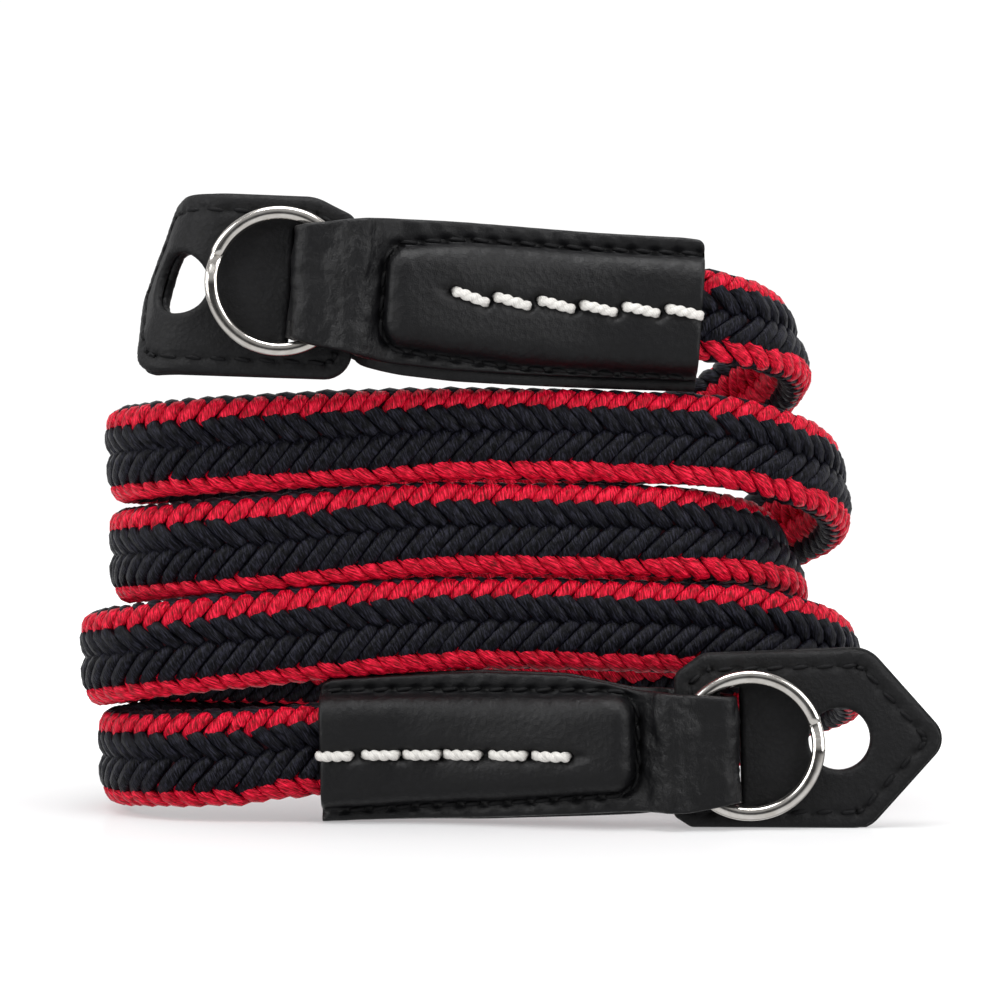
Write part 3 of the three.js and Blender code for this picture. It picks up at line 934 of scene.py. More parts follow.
def needle_dents(place, pitch, gap, depth):
    """Dents round the machine needle's holes. place is along the seam, and gap beside it."""
    to_hole = (place / pitch - np.round(place / pitch)) * pitch
    return depth * flat_bell(to_hole, NEEDLE_HOLE_LENGTH) * bell(gap, NEEDLE_HOLE_WIDTH)


class LeatherEnd:
    """The outer surface of one leather end: a strip that runs over the cord from the front mouth,
    round the ring as a loop, and back to the mouth behind. t is the distance along the strip."""

    def __init__(self, end, settings):
        self.end = end
        self.settings = settings
        self.shape = LEATHER_SHAPES[end["name"]]
        sleeve_end, fork_end, _, tip = stations(end)
        gap = max(RING_DEPTH, GUARD_THICKNESS) + 1.5 * CLEARANCE
        outside = gap + WALL
        corner = LOOP_CORNER_SHARE * gap + WALL
        self.dome_rise = CORD_THICKNESS / 2 + CLEARANCE
        along = np.arange(0, tip - corner, LINE_DETAIL)
        fork = (along - sleeve_end + FORK_LEAD) / (fork_end - sleeve_end + FORK_LEAD)
        front = np.stack([along, WALL + (outside - WALL) * smooth(fork)], axis=-1)
        turn = np.linspace(math.pi / 2, 0, 60)
        round_off = np.stack([tip - corner + corner * np.cos(turn),
                              outside - corner + corner * np.sin(turn)], axis=-1)
        half = np.concatenate([front, round_off])
        line = np.concatenate([half, half[::-1] * (1, -1)])
        self.line = line[np.diff(lengths_along(line), prepend=-1) > 1e-6]
        self.lengths = lengths_along(self.line)
        slopes = unit(np.gradient(self.line, self.lengths, axis=0))
        self.normals = np.stack([-slopes[:, 1], slopes[:, 0]], axis=-1)
        self.lines = {name: line_through(self.shape[name]) for name in (
            "top", "bottom", "back_top", "back_bottom", "dome_top", "dome_bottom")}
        self.foot = self.foot_line(self.lines["dome_top"], self.lines["dome_bottom"],
                                   self.shape["dome_end"])
        self.foot_lengths = lengths_along(self.foot)

    @property
    def length(self):
        return self.lengths[-1]

    @staticmethod
    def foot_line(top, bottom, end):
        """The dome's foot: along its top, round its closed end and back along its bottom."""
        straight = np.arange(-2, end - DOME_CORNER, 0.12)
        turn = np.linspace(math.pi / 2, 0, 30)
        x = end - DOME_CORNER
        high, low = top(x) - DOME_CORNER, bottom(x) + DOME_CORNER
        corner = np.stack([x + DOME_CORNER * np.cos(turn), high + DOME_CORNER * np.sin(turn)], -1)
        side = np.stack([np.full(60, end), np.linspace(high, low, 60)], -1)
        lower = np.stack([x + DOME_CORNER * np.cos(turn[::-1]),
                          low - DOME_CORNER * np.sin(turn[::-1])], -1)
        return np.concatenate([np.stack([straight, top(straight)], -1), corner, side[1:-1], lower,
                               np.stack([straight, bottom(straight)], -1)[::-1]])

    def edges(self, t):
        """The strip's lower and upper edges at a distance along it, and the distance from a mouth."""
        from_mouth = np.minimum(t, self.length - t)
        back = smooth((t - self.length / 2) / 3 + 0.5)
        ell = np.interp(t, self.lengths, self.line[:, 0])
        low = mix(self.lines["bottom"](ell), self.lines["back_bottom"](ell), back)
        high = mix(self.lines["top"](ell), self.lines["back_top"](ell), back)
        corner = self.shape["mouth_corner"]
        inset = np.clip(corner - from_mouth, 0, corner)
        high = high - (corner - np.sqrt(corner ** 2 - inset ** 2))
        return low, high, from_mouth

    def foot_distance(self, ell, h):
        """Distance into the dome from its foot, below zero outside, and the place along the foot."""
        flat = np.stack([ell.ravel(), h.ravel()], axis=-1)
        nearest = np.empty(len(flat), int)
        for start in range(0, len(flat), SEARCH_BATCH):
            batch = slice(start, start + SEARCH_BATCH)
            gaps = ((flat[batch, None, :] - self.foot[None, :, :]) ** 2).sum(axis=-1)
            nearest[batch] = gaps.argmin(axis=1)
        away = np.linalg.norm(flat - self.foot[nearest], axis=1).reshape(ell.shape)
        x = self.shape["dome_end"] - DOME_CORNER
        high, low = self.lines["dome_top"](ell), self.lines["dome_bottom"](ell)
        core_h = np.clip(h, low + DOME_CORNER, high - DOME_CORNER)
        in_corner = np.hypot(np.maximum(ell - x, 0), h - core_h) < DOME_CORNER
        inside = (h < high) & (h > low) & ((ell < x) | in_corner)
        return np.where(inside, away, -away), self.foot_lengths[nearest].reshape(ell.shape)

    def stitch_places(self):
        """Places along the foot where the machine's needle went through."""
        pitch = self.settings.machine_pitch / MM
        return np.arange(SEAM_START, self.foot_lengths[-1] - SEAM_START, pitch)

    def seam_points(self, places, beside, back):
        """Points of the seam round the dome, on the front or the back, and the ways outwards there.
        places are along the dome's foot, and beside is away from the dome."""
        slopes = np.gradient(self.foot, self.foot_lengths, axis=0)
        foot_ell, foot_h = columns_at(places, self.foot_lengths, self.foot)
        slope_ell, slope_h = columns_at(places, self.foot_lengths, slopes)
        away = unit(np.stack([-slope_h, slope_ell], axis=-1))
        shift = STITCH_LINE + beside
        ell, h = foot_ell + away[..., 0] * shift, foot_h + away[..., 1] * shift
        t = self.length - ell if back else ell
        rise = self.relief(t, h, fine=False) - self.settings.seam_depth / MM
        points = self.point(t, h, rise)
        return points, unit(self.point(t, h, rise + 1) - points)

    def relief(self, t, h, fine=True):
        """How far the leather stands out from the plain strip, over the cord and at the seams."""
        ell = np.minimum(t, self.length - t)
        inside, along_foot = self.foot_distance(ell, h)
        share = np.clip(inside / self.settings.dome_shoulder * MM, 0, 1)
        dome = (1 - (1 - share) ** 2.6) ** (1 / 2.1)
        rise = dome * self.dome_rise
        if not fine:
            return rise
        rise = rise + CROWN_HEIGHT * dome * (1 - (h / CROWN_HALF) ** 2)
        return (rise + self.seam_relief(inside, along_foot) + self.hand_relief(ell, h)
                + self.slack_relief(ell, h))

    def seam_relief(self, inside, along_foot):
        """The sunk seam round the dome, its needle holes and the leather's swell between them."""
        pitch = self.settings.machine_pitch / MM
        gap = inside + STITCH_LINE
        place = along_foot - SEAM_START
        swell = sum(height * bell(inside - middle, width) for height, middle, width in PUCKERS)
        return (np.cos(2 * math.pi * place / pitch) * swell
                - self.settings.seam_depth / MM * bell(gap, SEAM_WIDTH)
                - needle_dents(place, pitch, gap, NEEDLE_HOLE_DEPTH))

    def hand_relief(self, ell, h):
        """The beds and holes of the hand stitches, and one spare hole."""
        half = self.settings.hand_length / MM / 2
        x, y = self.shape["hand_hole"]
        rise = -SPARE_HOLE_DEPTH * bell(ell - x, HAND_HOLE_RADIUS) * bell(h - y, SPARE_HOLE_HALF)
        for x, y, slant in self.shape["hand"]:
            along, over = self.stitch_frame(ell, h, x, y, slant)
            beyond = np.maximum(np.abs(along) - half + HAND_BED_SHORTER, 0)
            rise = rise - HAND_BED_DEPTH * bell(beyond, HAND_BED_FADE) * bell(over, HAND_BED_HALF)
            for hole in (-half - HAND_HOLE_BEYOND, half + HAND_HOLE_BEYOND):
                away = np.hypot(along - hole, over)
                rise = rise - HAND_HOLE_DEPTH * bell(away, HAND_HOLE_RADIUS)
        return rise

    @staticmethod
    def slack_relief(ell, h):
        """The bands across the neck and the slow waves of the whole strip."""
        wave = 0.07 * np.sin(0.5 * ell + 1.1) * np.sin(0.62 * h + 0.4 * np.sin(0.3 * ell))
        bands = sum(height * bell(ell - middle, width) for height, middle, width in NECK_BANDS)
        return bands + wave + 0.05 * np.sin(0.93 * ell + 0.7 * h)

    @staticmethod
    def stitch_frame(ell, h, x, y, slant):
        cos, sin = math.cos(math.radians(slant)), math.sin(math.radians(slant))
        return (ell - x) * cos + (h - y) * sin, (h - y) * cos - (ell - x) * sin

    def crumple(self, t):
        """Where the leather is creased: at the neck and over the loop."""
        ell = np.interp(t, self.lengths, self.line[:, 0])
        tip = stations(self.end)[3]
        calm = 0.55 * smooth((ell - 41) / 2) * smooth((tip - ell) / 2)
        return smooth((ell - CREASED_FROM) / 2.5) * (1 - calm)

    def point(self, t, h, stand_out):
        """A point that stands out from the plain strip, in the part's frame."""
        ell, out = columns_at(t, self.lengths, self.line)
        n_ell, n_out = columns_at(t, self.lengths, self.normals)
        n_ell = n_ell * smooth((ell - self.shape["dome_end"]) / 2.2)
        n_out = np.where(n_out < 0, -1, 1) * np.sqrt(1 - n_ell ** 2)
        return end_point(self.end, ell + n_ell * stand_out, -(out + n_out * stand_out), h) + SHIFT

    def rings(self, t):
        """Rings of points round the strip's section, and how creased the leather is there."""
        low, high, from_mouth = (values[:, None] for values in self.edges(t))
        t = t[:, None]
        edge = np.array(ROW_EDGES)
        middle = np.linspace(0, 1, OUTER_ROWS)[1:-1]
        h = np.concatenate([low + edge, low + edge[-1] + (high - low - 2 * edge[-1]) * middle,
                            high - edge[::-1]], axis=1)
        t_out = t + 0 * h
        radius = self.settings.edge_radius / MM
        fall = rounded(np.minimum(h - low, high - h), radius) + rounded(from_mouth, radius)
        crease = self.crumple(t_out) * CREASE_DEPTH * crease_noise(t_out, h)
        outer = self.relief(t_out, h) - np.minimum(fall, MOST_FALL * radius) + crease
        h_in = high - INNER_INSET - (high - low - 2 * INNER_INSET) * np.linspace(0, 1, INNER_ROWS)
        inner = self.relief(t + 0 * h_in, h_in, fine=False) - WALL + INNER_SLACK
        side = np.array(RIM_SHARES)
        rim_top = mix(outer[:, -1:], inner[:, :1], side)
        rim_low = mix(inner[:, -1:], outer[:, :1], 1 - side[::-1])
        all_h = np.concatenate([h, high + 0 * rim_top, h_in, low + 0 * rim_low], axis=1)
        all_out = np.concatenate([outer, rim_top, inner, rim_low], axis=1)
        all_t = t + 0 * all_h
        return self.point(all_t, all_h, all_out), self.crumple(all_t)


def crease_noise(t, h):
    """Small creases, stretched a little across the strip."""
    values = [noise.fractal(Vector((x * 0.75, y * 0.42, 3.7)), 1.0, 2.0, 3)
              for x, y in zip(t.ravel(), h.ravel())]
    return np.array(values).reshape(h.shape)


def leather_material(name, grain_scale=1450.0, gloss=0.24, creased=False):
    """Black leather: a fine pebbled grain, broken gloss, and creases where the piece says so."""
    shader = Shader(name, Specular_IOR_Level=0.32)
    place = shader.object_place()
    warped = shader.node("ShaderNodeVectorMath", {"operation": "ADD"}, {
        "Vector": place, "Vector_001": shader.scaled(
            shader.node("ShaderNodeTexNoise", {}, {"Vector": place, "Scale": 700.0}, "Color"),
            (0.0005, 0.0005, 0.0005))})
    pebbles = shader.cells(warped, grain_scale)
    fine = shader.noise(place, 6500.0, 3.0, 0.6)
    broad = shader.noise(place, 260.0, 2.0)
    height = pebbles * 0.6 + fine * 0.65 + broad * 0.9
    if creased:
        crease = shader.attribute("crumple")
        wrinkles = shader.noise(shader.scaled(warped, (1.3, 1.0, 0.8)), 1000.0, 4.0, 0.62)
        height = height + crease * (wrinkles * 2.4)
    colour = shader.ramp(shader.clamp01(pebbles * 0.6 + broad * 0.6 - 0.1), [
        (0.0, (0.0035, 0.0035, 0.0045)), (0.6, (0.0018, 0.0018, 0.0024)),
        (1.0, (0.001, 0.001, 0.0014))])
    rough = gloss + 0.18 * broad + 0.16 * fine + 0.1 * pebbles
    return shader.feed(Base_Color=colour, Roughness=shader.clamp01(rough),
                       Normal=shader.bump(height, 0.1 * MM, 0.8))


def thread_material(name, deep, body, gloss):
    """Waxed sewing thread, with the lay of its fibres along its own map."""
    shader = Shader(name, Specular_IOR_Level=gloss)
    place = shader.fibre_place()
    fibres = shader.noise(shader.scaled(place, (1.2, 16.0, 1.0)), 1.0, 2.0)
    colour = shader.ramp(fibres, [(0.25, deep), (0.7, body)])
    return shader.feed(Base_Color=colour, Roughness=0.45 + 0.3 * fibres,
                       Normal=shader.bump(fibres, 0.05 * MM, 0.8))


class STRAP_PG_leather(bpy.types.PropertyGroup):
    dome_shoulder: size_property(
        "Dome shoulder", "Width over which the leather rises over the cord", 3.2, 0.5)
    seam_depth: size_property(
        "Seam depth", "Depth of the groove that the machine stitches lie in", 0.3)
    edge_radius: size_property("Edge radius", "Rounding of the cut edges", 0.42, 0.05)
    machine_pitch: size_property(
        "Machine stitch pitch", "Distance between the needle's holes", 2.6, 1)
    machine_thread: size_property("Machine thread", "Thickness of the black thread", 0.52, 0.2)
    hand_length: size_property("Hand stitch length", "Length of one white hand stitch", 3.65, 1)
    hand_thread: size_property("Hand thread", "Thickness of the white twisted thread", 1.18, 0.3)
    thread_colour: colour_property(
        "Hand thread colour", "Colour of the twisted thread", (0.78, 0.76, 0.72))


# Stations along a machine stitch as shares of its length, with its height over the seam and the
# share of its thickness there
STITCH_STATIONS = np.array([
    (-0.02, -0.42, 0.7), (0.08, -0.10, 0.95), (0.25, 0.04, 1), (0.5, 0.09, 1), (0.75, 0.04, 1),
    (0.92, -0.10, 0.95), (1.02, -0.42, 0.7),
])
MACHINE_GAP_SHARE = 0.38
GUARD_GAP_SHARE = 0.4
STITCH_SLANT = 0.2
STITCH_SIDES = 8
STITCH_FLATNESS = 0.9
STITCH_LAY = 0.5

# A hand stitch: two plies that stand up from the leather and dive into it at both ends
HAND_RINGS = 17
HAND_SIDES = 9
HAND_LIFT = 0.29
HAND_DIVE = 1.25
HAND_DIVE_POWER = 5
HAND_TURNS = 1.6
PLY_CLOSENESS = 0.6
PLY_FULLNESS = 1.5
HAND_LAY = 0.9


def stitch_bits(place_on, starts, length, thickness):
    """Short bits of thread that come up out of one hole and go down the next. place_on gives the
    points and the outward directions of a seam, for places along it and distances beside it."""
    shares, lift, widths = STITCH_STATIONS.T
    places = starts[:, None] + shares * length
    points, out = place_on(places, STITCH_SLANT * (shares - 0.5) + 0 * places)
    centres = points + out * lift[:, None]
    along = unit(np.gradient(centres, axis=1))
    wide = unit(np.cross(along, out))
    return centres, wide, unit(np.cross(wide, along)), thickness / 2 * widths + 0 * places


def finish_stitches(name, sides, material):
    """One piece of the stitches on both sides of the leather."""
    centres, wide, thick, half = (np.concatenate(parts) for parts in zip(*sides))
    mesh = sweep(centres, wide, thick, half, half * STITCH_FLATNESS, STITCH_SIDES, STITCH_LAY)
    finish_piece(name, mesh).data.materials.append(material)


def twisted_plies(centres, out, radius, turns, hand):
    """Two plies wound round each other along lines of points."""
    along = unit(np.gradient(centres, axis=1))
    wide = unit(np.cross(along, out))
    thick = unit(np.cross(wide, along))
    angle = np.linspace(0, turns * 2 * math.pi, centres.shape[1])[None, :, None]
    plies = [centres + radius * (np.cos(hand * angle + ply) * wide + np.sin(hand * angle + ply) * thick)
             for ply in (0, math.pi)]
    return np.concatenate(plies), np.concatenate([wide, wide]), np.concatenate([thick, thick])


class STRAP_OT_leather_ends(bpy.types.Operator):
    """Makes both leather ends with their machine stitches and the white hand stitches"""

    bl_idname = "strap.leather_ends"
    bl_label = "Leather ends"

    def execute(self, context):
        settings = context.scene.strap_leather
        material = leather_material("black_leather_strip", creased=True)
        black = thread_material("black_thread", (0.001, 0.001, 0.0012), (0.005, 0.005, 0.006), 0.2)
        colour = tuple(settings.thread_colour)
        white = thread_material("white_thread", tuple(0.5 * x for x in colour), colour, 0.4)
        for end in (LOWER, UPPER):
            leather = LeatherEnd(end, settings)
            self.make_strip(leather, material)
            self.make_machine_stitches(leather, black)
            self.make_hand_stitches(leather, white)
        return {"FINISHED"}

    @staticmethod
    def make_strip(leather, material):
        mouth = np.array(ROW_EDGES[:-1])
        rows = np.linspace(FIRST_ROW, leather.length - FIRST_ROW, STRIP_ROWS)
        t = np.concatenate([mouth, rows, leather.length - mouth[::-1]])
        points, crumple = leather.rings(t)
        node = "leather_end_" + leather.end["name"]
        mesh = mesh_of(tube_bmesh(points, {"crumple": crumple}), node)
        piece = finish_piece("leather_strip_" + leather.end["name"], mesh, [node])
        piece.data.materials.append(material)

    @staticmethod
    def make_machine_stitches(leather, material):
        pitch = leather.settings.machine_pitch / MM
        starts = leather.stitch_places()[:-1] + pitch * MACHINE_GAP_SHARE / 2
        sides = [stitch_bits(lambda places, beside: leather.seam_points(places, beside, back),
                             starts, pitch * (1 - MACHINE_GAP_SHARE),
                             leather.settings.machine_thread / MM)
                 for back in (False, True)]
        finish_stitches("machine_stitches_" + leather.end["name"], sides, material)

    @staticmethod
    def make_hand_stitches(leather, material):
        half_length = leather.settings.hand_length / MM / 2
        ply_radius = leather.settings.hand_thread / MM / 4
        shares = np.linspace(-1, 1, HAND_RINGS)
        rise = leather.dome_rise + HAND_LIFT - HAND_DIVE * np.abs(shares) ** HAND_DIVE_POWER
        lines, outs = [], []
        for back in (False, True):
            for x, y, slant in leather.shape["hand"]:
                angle = math.radians(slant)
                ell = x + shares * half_length * math.cos(angle)
                h = y + shares * half_length * math.sin(angle)
                t = leather.length - ell if back else ell
                points = leather.point(t, h, rise)
                lines.append(points)
                outs.append(unit(leather.point(t, h, rise + 1) - points))
        centres, wide, thick = twisted_plies(np.array(lines), np.array(outs), ply_radius * PLY_CLOSENESS,
                                            HAND_TURNS, -leather.end["side"])
        half = np.full(centres.shape[:2], ply_radius * PLY_FULLNESS)
        mesh = sweep(centres, wide, thick, half, half, HAND_SIDES, HAND_LAY)
        piece = finish_piece("hand_stitches_" + leather.end["name"], mesh)
        piece.data.materials.append(material)


# Split rings


class STRAP_PG_rings(bpy.types.PropertyGroup):
    wire_width: size_property(
        "Wire width", "Width of the ring's wire, from its inside to its outside", 1.46, 0.3)
    wire_depth: size_property("Wire depth", "Thickness of one turn of wire", 0.98, 0.3)
    step_angle: bpy.props.FloatProperty(
        name="Step", description="Angle over which the wire steps from one turn to the other",
        default=math.radians(24), subtype="ANGLE")


# Where the front turn of each ring is cut off, and which way round its wire goes from there
RING_ENDS = {"lower": dict(start=19, way=1), "upper": dict(start=157, way=-1)}
WIRE_RINGS = 260
WIRE_SIDES = 20
WIRE_SQUARENESS = 0.92
WIRE_END_SIZE = 0.8
WIRE_END_GAP = 4


class STRAP_OT_rings(bpy.types.Operator):
    """Makes the two split rings, each of one wire wound twice round"""

    bl_idname = "strap.rings"
    bl_label = "Split rings"

    def execute(self, context):
        settings = context.scene.strap_rings
        material = self.nickel()
        for end in (LOWER, UPPER):
            node = "ring_" + end["name"]
            points = self.wire(end, settings)
            piece = finish_piece("split_ring_" + end["name"], mesh_of(tube_bmesh(points), node),
                                 [node], smooth_angle=50)
            piece.data.materials.append(material)
        return {"FINISHED"}

    @staticmethod
    def wire(end, settings):
        low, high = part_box("ring_" + end["name"])
        centre = np.array((low + high) / 2) / MM
        row = RING_ENDS[end["name"]]
        half_width = settings.wire_width / MM / 2
        half_depth = settings.wire_depth / MM / 2
        step = math.degrees(settings.step_angle)
        angle = np.linspace(0, 720 - step - WIRE_END_GAP, WIRE_RINGS)
        back = smooth((angle - (360 - step)) / step)
        y = -half_depth * 1.01 + back * half_depth * 2.02
        theta = np.radians(row["start"] + row["way"] * angle)
        radius = RING_RADIUS - half_width - 0.01
        middle = np.stack([radius * np.cos(theta), y, radius * np.sin(theta)], axis=-1)
        outward = np.stack([np.cos(theta), 0 * theta, np.sin(theta)], axis=-1)
        across, deep = squarish(np.arange(WIRE_SIDES) / WIRE_SIDES * 2 * math.pi, WIRE_SQUARENESS)
        size = np.ones((len(angle), 1))
        size[[0, -1]] = WIRE_END_SIZE
        return (centre + middle[:, None, :]
                + (half_width * across * size)[..., None] * outward[:, None, :]
                + (half_depth * deep * size)[..., None] * np.array((0, 1, 0)))

    @staticmethod
    def nickel():
        shader = Shader("polished_nickel", Metallic=1.0)
        place = shader.object_place()
        marks = shader.noise(shader.scaled(place, (1.0, 6.0, 1.0)), 900.0, 3.0)
        colour = shader.ramp(marks, [(0.3, (0.74, 0.70, 0.65)), (0.7, (0.90, 0.87, 0.83))])
        return shader.feed(Base_Color=colour, Roughness=0.13 + 0.1 * marks,
                           Normal=shader.bump(marks, 0.008 * MM, 0.5))


# Ring guards

GUARD_LENGTH = 29.3
GUARD_HEIGHT = 19.6
LUG_HOLE = 6.9
LUG_HOLE_FROM_BASE = 18.3
FOLD_RADIUS = 4.8
FOLD_ANGLE = math.radians(74)
FOLD_FROM_BASE = 16.5
FOLD_SLANT = math.radians(15.2)
FOLD_HOLE_SHIFT = 1.4
SLIT_ROOM = 1.5
SLIT_ROOM_AHEAD = {"lower": 1.15, "upper": 0.3}
HOLE_SIDES = 40
CORNER_STEPS = 8
SPREAD_FROM = 10.0  # the back layer is larger away from here, and from the base over the next length
SPREAD_OVER = 12

# Corners of each guard's flat outline as distance from its base, height and rounding
GUARD_CORNERS = {
    "lower": [(0.0, -8.5, 0.8), (1.9, -9.7, 1.2), (21.3, -9.8, 3.4), (30.25, 0, 2.6),
              (21.3, 9.9, 3.6), (3.2, 9.4, 2.4), (0.1, 7.2, 1.6)],
    "upper": [(0.3, -10.2, 3.0), (23.6, -9.9, 3.4), (30.25, 0, 2.6), (23.2, 9.9, 2.2),
              (4.6, 9.8, 5.0), (0.0, 7.7, 1.8)],
}


def rounded_polygon(corners, spread=0.0):
    """Points round a polygon with its corners rounded off, grown towards the tip by spread."""
    points = []
    count = len(corners)
    for i, (x, y, radius) in enumerate(corners):
        here = np.array((x, y), float)
        before = np.array(corners[i - 1][:2], float)
        after = np.array(corners[(i + 1) % count][:2], float)
        a, b = unit(before - here), unit(after - here)
        half = math.acos(np.clip(a @ b, -1, 1)) / 2
        reach = radius / math.tan(half)
        centre = here + unit(a + b) * radius / math.sin(half)
        start, stop = here + a * reach - centre, here + b * reach - centre
        from_angle = math.atan2(start[1], start[0])
        sweep_angle = (math.atan2(stop[1], stop[0]) - from_angle + math.pi) % (2 * math.pi) - math.pi
        for share in np.linspace(0, 1, CORNER_STEPS + 1):
            angle = from_angle + sweep_angle * share
            points.append(centre + radius * np.array((math.cos(angle), math.sin(angle))))
    points = np.array(points)
    away = unit(points - (SPREAD_FROM, 0))
    return points + away * spread * smooth(points[:, :1] / SPREAD_OVER)


def distance_to_line(points, line):
    """Distance of points from a closed line, and the place along it."""
    ends = np.roll(line, -1, axis=0)
    ways = ends - line
    sizes = np.linalg.norm(ways, axis=1)
    starts = np.concatenate([[0], np.cumsum(sizes)[:-1]])
    best = np.full(len(points), np.inf)
    place = np.zeros(len(points))
    for a, way, size, start in zip(line, ways, sizes, starts):
        share = np.clip(((points - a) @ way) / size ** 2, 0, 1)
        away = np.linalg.norm(points - a - share[:, None] * way, axis=1)
        closer = away < best
        best[closer] = away[closer]
        place[closer] = start + share[closer] * size
    return best, place


class Guard:
    """One ring guard: its flat outline with its lug hole and slit, and where it goes in the part."""

    def __init__(self, end):
        self.end = end
        self.folded = end["name"] == "upper"
        _, fork_end, ring_centre, tip = stations(end)
        self.base = fork_end + CLEARANCE
        inner = RING_RADIUS - RING_WIRE
        tip_half = math.sqrt(inner ** 2 - (ring_centre - tip + WALL) ** 2) - CLEARANCE
        rise = self.base * math.sin(math.radians(end["tilt"]))
        lowest = END_RISE - end["mouth_z"] - rise
        self.centre = 0 if self.folded else GUARD_HEIGHT / 2 + lowest - END_RISE
        self.hole_at = LUG_HOLE_FROM_BASE + (FOLD_HOLE_SHIFT if self.folded else 0)
        x = tip - WALL / 2 - self.base
        near = -WALL / 2 - SLIT_ROOM * CLEARANCE
        far = WALL / 2 + SLIT_ROOM_AHEAD[end["name"]] * CLEARANCE
        high = tip_half + SLIT_ROOM * CLEARANCE
        turn = math.radians(end["tilt"] - end["guard_tilt"])
        cos, sin = math.cos(turn), math.sin(turn)
        self.slit = np.array([(x + a * cos - b * high * sin, -self.centre + b * high * cos + a * sin)
                              for a, b in ((near, -1), (far, -1), (far, 1), (near, 1))])
        angle = np.arange(HOLE_SIDES) / HOLE_SIDES * 2 * math.pi
        self.hole = np.stack([self.hole_at + LUG_HOLE / 2 * np.cos(angle),
                              LUG_HOLE / 2 * np.sin(angle)], axis=-1)
        self.outline = rounded_polygon(GUARD_CORNERS[end["name"]])

    def fold(self, distance, height, depth):
        """A point of the flat guard, rolled back past a slanting line."""
        cos, sin = math.cos(FOLD_SLANT), math.sin(FOLD_SLANT)
        past = (distance - FOLD_FROM_BASE) * cos + height * sin
        radius = FOLD_RADIUS + GUARD_THICKNESS / 2 - depth
        angle = np.clip(past / FOLD_RADIUS, 0, FOLD_ANGLE)
        straight = np.maximum(past - FOLD_ANGLE * FOLD_RADIUS, 0)
        reach = radius * np.sin(angle) + straight * np.cos(angle)
        dip = (FOLD_RADIUS + GUARD_THICKNESS / 2 - radius * np.cos(angle)
               + straight * np.sin(angle))
        rolled = past > 0
        shift = np.where(rolled, reach - past, 0)
        return distance + shift * cos, np.where(rolled, dip, depth), height + shift * sin

    def place(self, distance, height, depth):
        """Points of the flat guard in the part's frame."""
        if self.folded:
            distance, depth, height = self.fold(distance, height, depth)
        tilt = math.radians(self.end["guard_tilt"])
        base = end_point(self.end, np.float64(self.base), 0.0, 0.0)
        cos, sin = math.cos(tilt), math.sin(tilt)
        x = base[0] + self.end["side"] * (distance * cos - height * sin)
        z = base[2] + self.centre + distance * sin + height * cos
        y = -LOOP_FORWARD + CLEARANCE / 2 + depth
        return np.stack(np.broadcast_arrays(x, y, z), axis=-1) + SHIFT


class STRAP_PG_guards(bpy.types.PropertyGroup):
    layer_gap: size_property("Layer gap", "Gap between a guard's two layers of leather", 0.05)
    back_spread: size_property(
        "Back spread", "How far the back layer shows past the front one", 0.35)
    stitch_inset: size_property(
        "Stitch inset", "Distance of the stitches from the edge", 1.75, 0.5)
    stitch_pitch: size_property("Stitch pitch", "Distance between the needle's holes", 2.75, 1)
    cell: size_property("Cell", "Spacing of the mesh that carries the dents", 0.45, 0.2)


# Sizes of a guard's mesh and of the dents in it, in millimetres
SEAM_STEPS = 24
KEPT_SHARE = 0.985
AHEAD = 0.3
LAYER_INSETS = (0.1, 0.25)
CUT_SHIFT = 0.013
OUTER_ROUNDING = 0.35
INNER_ROUNDING = 0.12
GUARD_SEAM_DEPTH = 0.12
GUARD_SEAM_WIDTH = 0.45
GUARD_HOLE_DEPTH = 0.36
GUARD_THREAD = 0.5
THREAD_DEPTH = 0.14


class GuardSeam:
    """The stitch line of one guard: its outline moved in by an even distance."""

    def __init__(self, guard, settings):
        fine = guard.outline
        line = np.concatenate([
            a + (b - a) * np.linspace(0, 1, SEAM_STEPS, endpoint=False)[:, None]
            for a, b in zip(fine, np.roll(fine, -1, axis=0))])
        way = np.roll(line, -1, axis=0) - np.roll(line, 1, axis=0)
        way = way / np.maximum(np.linalg.norm(way, axis=1, keepdims=True), 1e-9)
        inset = settings.stitch_inset / MM
        moved = line + np.stack([-way[:, 1], way[:, 0]], axis=-1) * inset
        away, _ = distance_to_line(moved, fine)
        self.guard = guard
        self.line = moved[away > inset * KEPT_SHARE]
        self.closed = np.concatenate([self.line, self.line[:1]])
        self.lengths = lengths_along(self.closed)
        self.length = self.lengths[-1]
        count = round(self.length / (settings.stitch_pitch / MM))
        self.pitch = self.length / count
        self.holes = np.arange(count) * self.pitch

    def at(self, places):
        return columns_at(np.mod(places, self.length), self.lengths, self.closed)

    def dents(self, flat):
        """How far the stitches pull the leather in, and how it swells between them."""
        gap, place = distance_to_line(flat, self.line)
        wave = 0.05 * np.sin(0.7 * flat[:, 0] + 0.5) * np.sin(0.8 * flat[:, 1] + 1.0)
        return (GUARD_SEAM_DEPTH * bell(gap, GUARD_SEAM_WIDTH)
                + needle_dents(place, self.pitch, gap, GUARD_HOLE_DEPTH) + wave)

    def points(self, places, beside, back):
        """Points of the seam on the guard's front or back, and the ways outwards there."""
        x, y = self.at(places)
        ahead_x, ahead_y = self.at(places + AHEAD)
        way = unit(np.stack([ahead_x - x, ahead_y - y], axis=-1))
        x, y = x - way[..., 1] * beside, y + way[..., 0] * beside
        depth = GUARD_THICKNESS - THREAD_DEPTH if back else THREAD_DEPTH
        points = self.guard.place(x, y, depth + 0 * x)
        beyond = self.guard.place(x, y, depth + (0.5 if back else -0.5) + 0 * x)
        return points, unit(beyond - points)


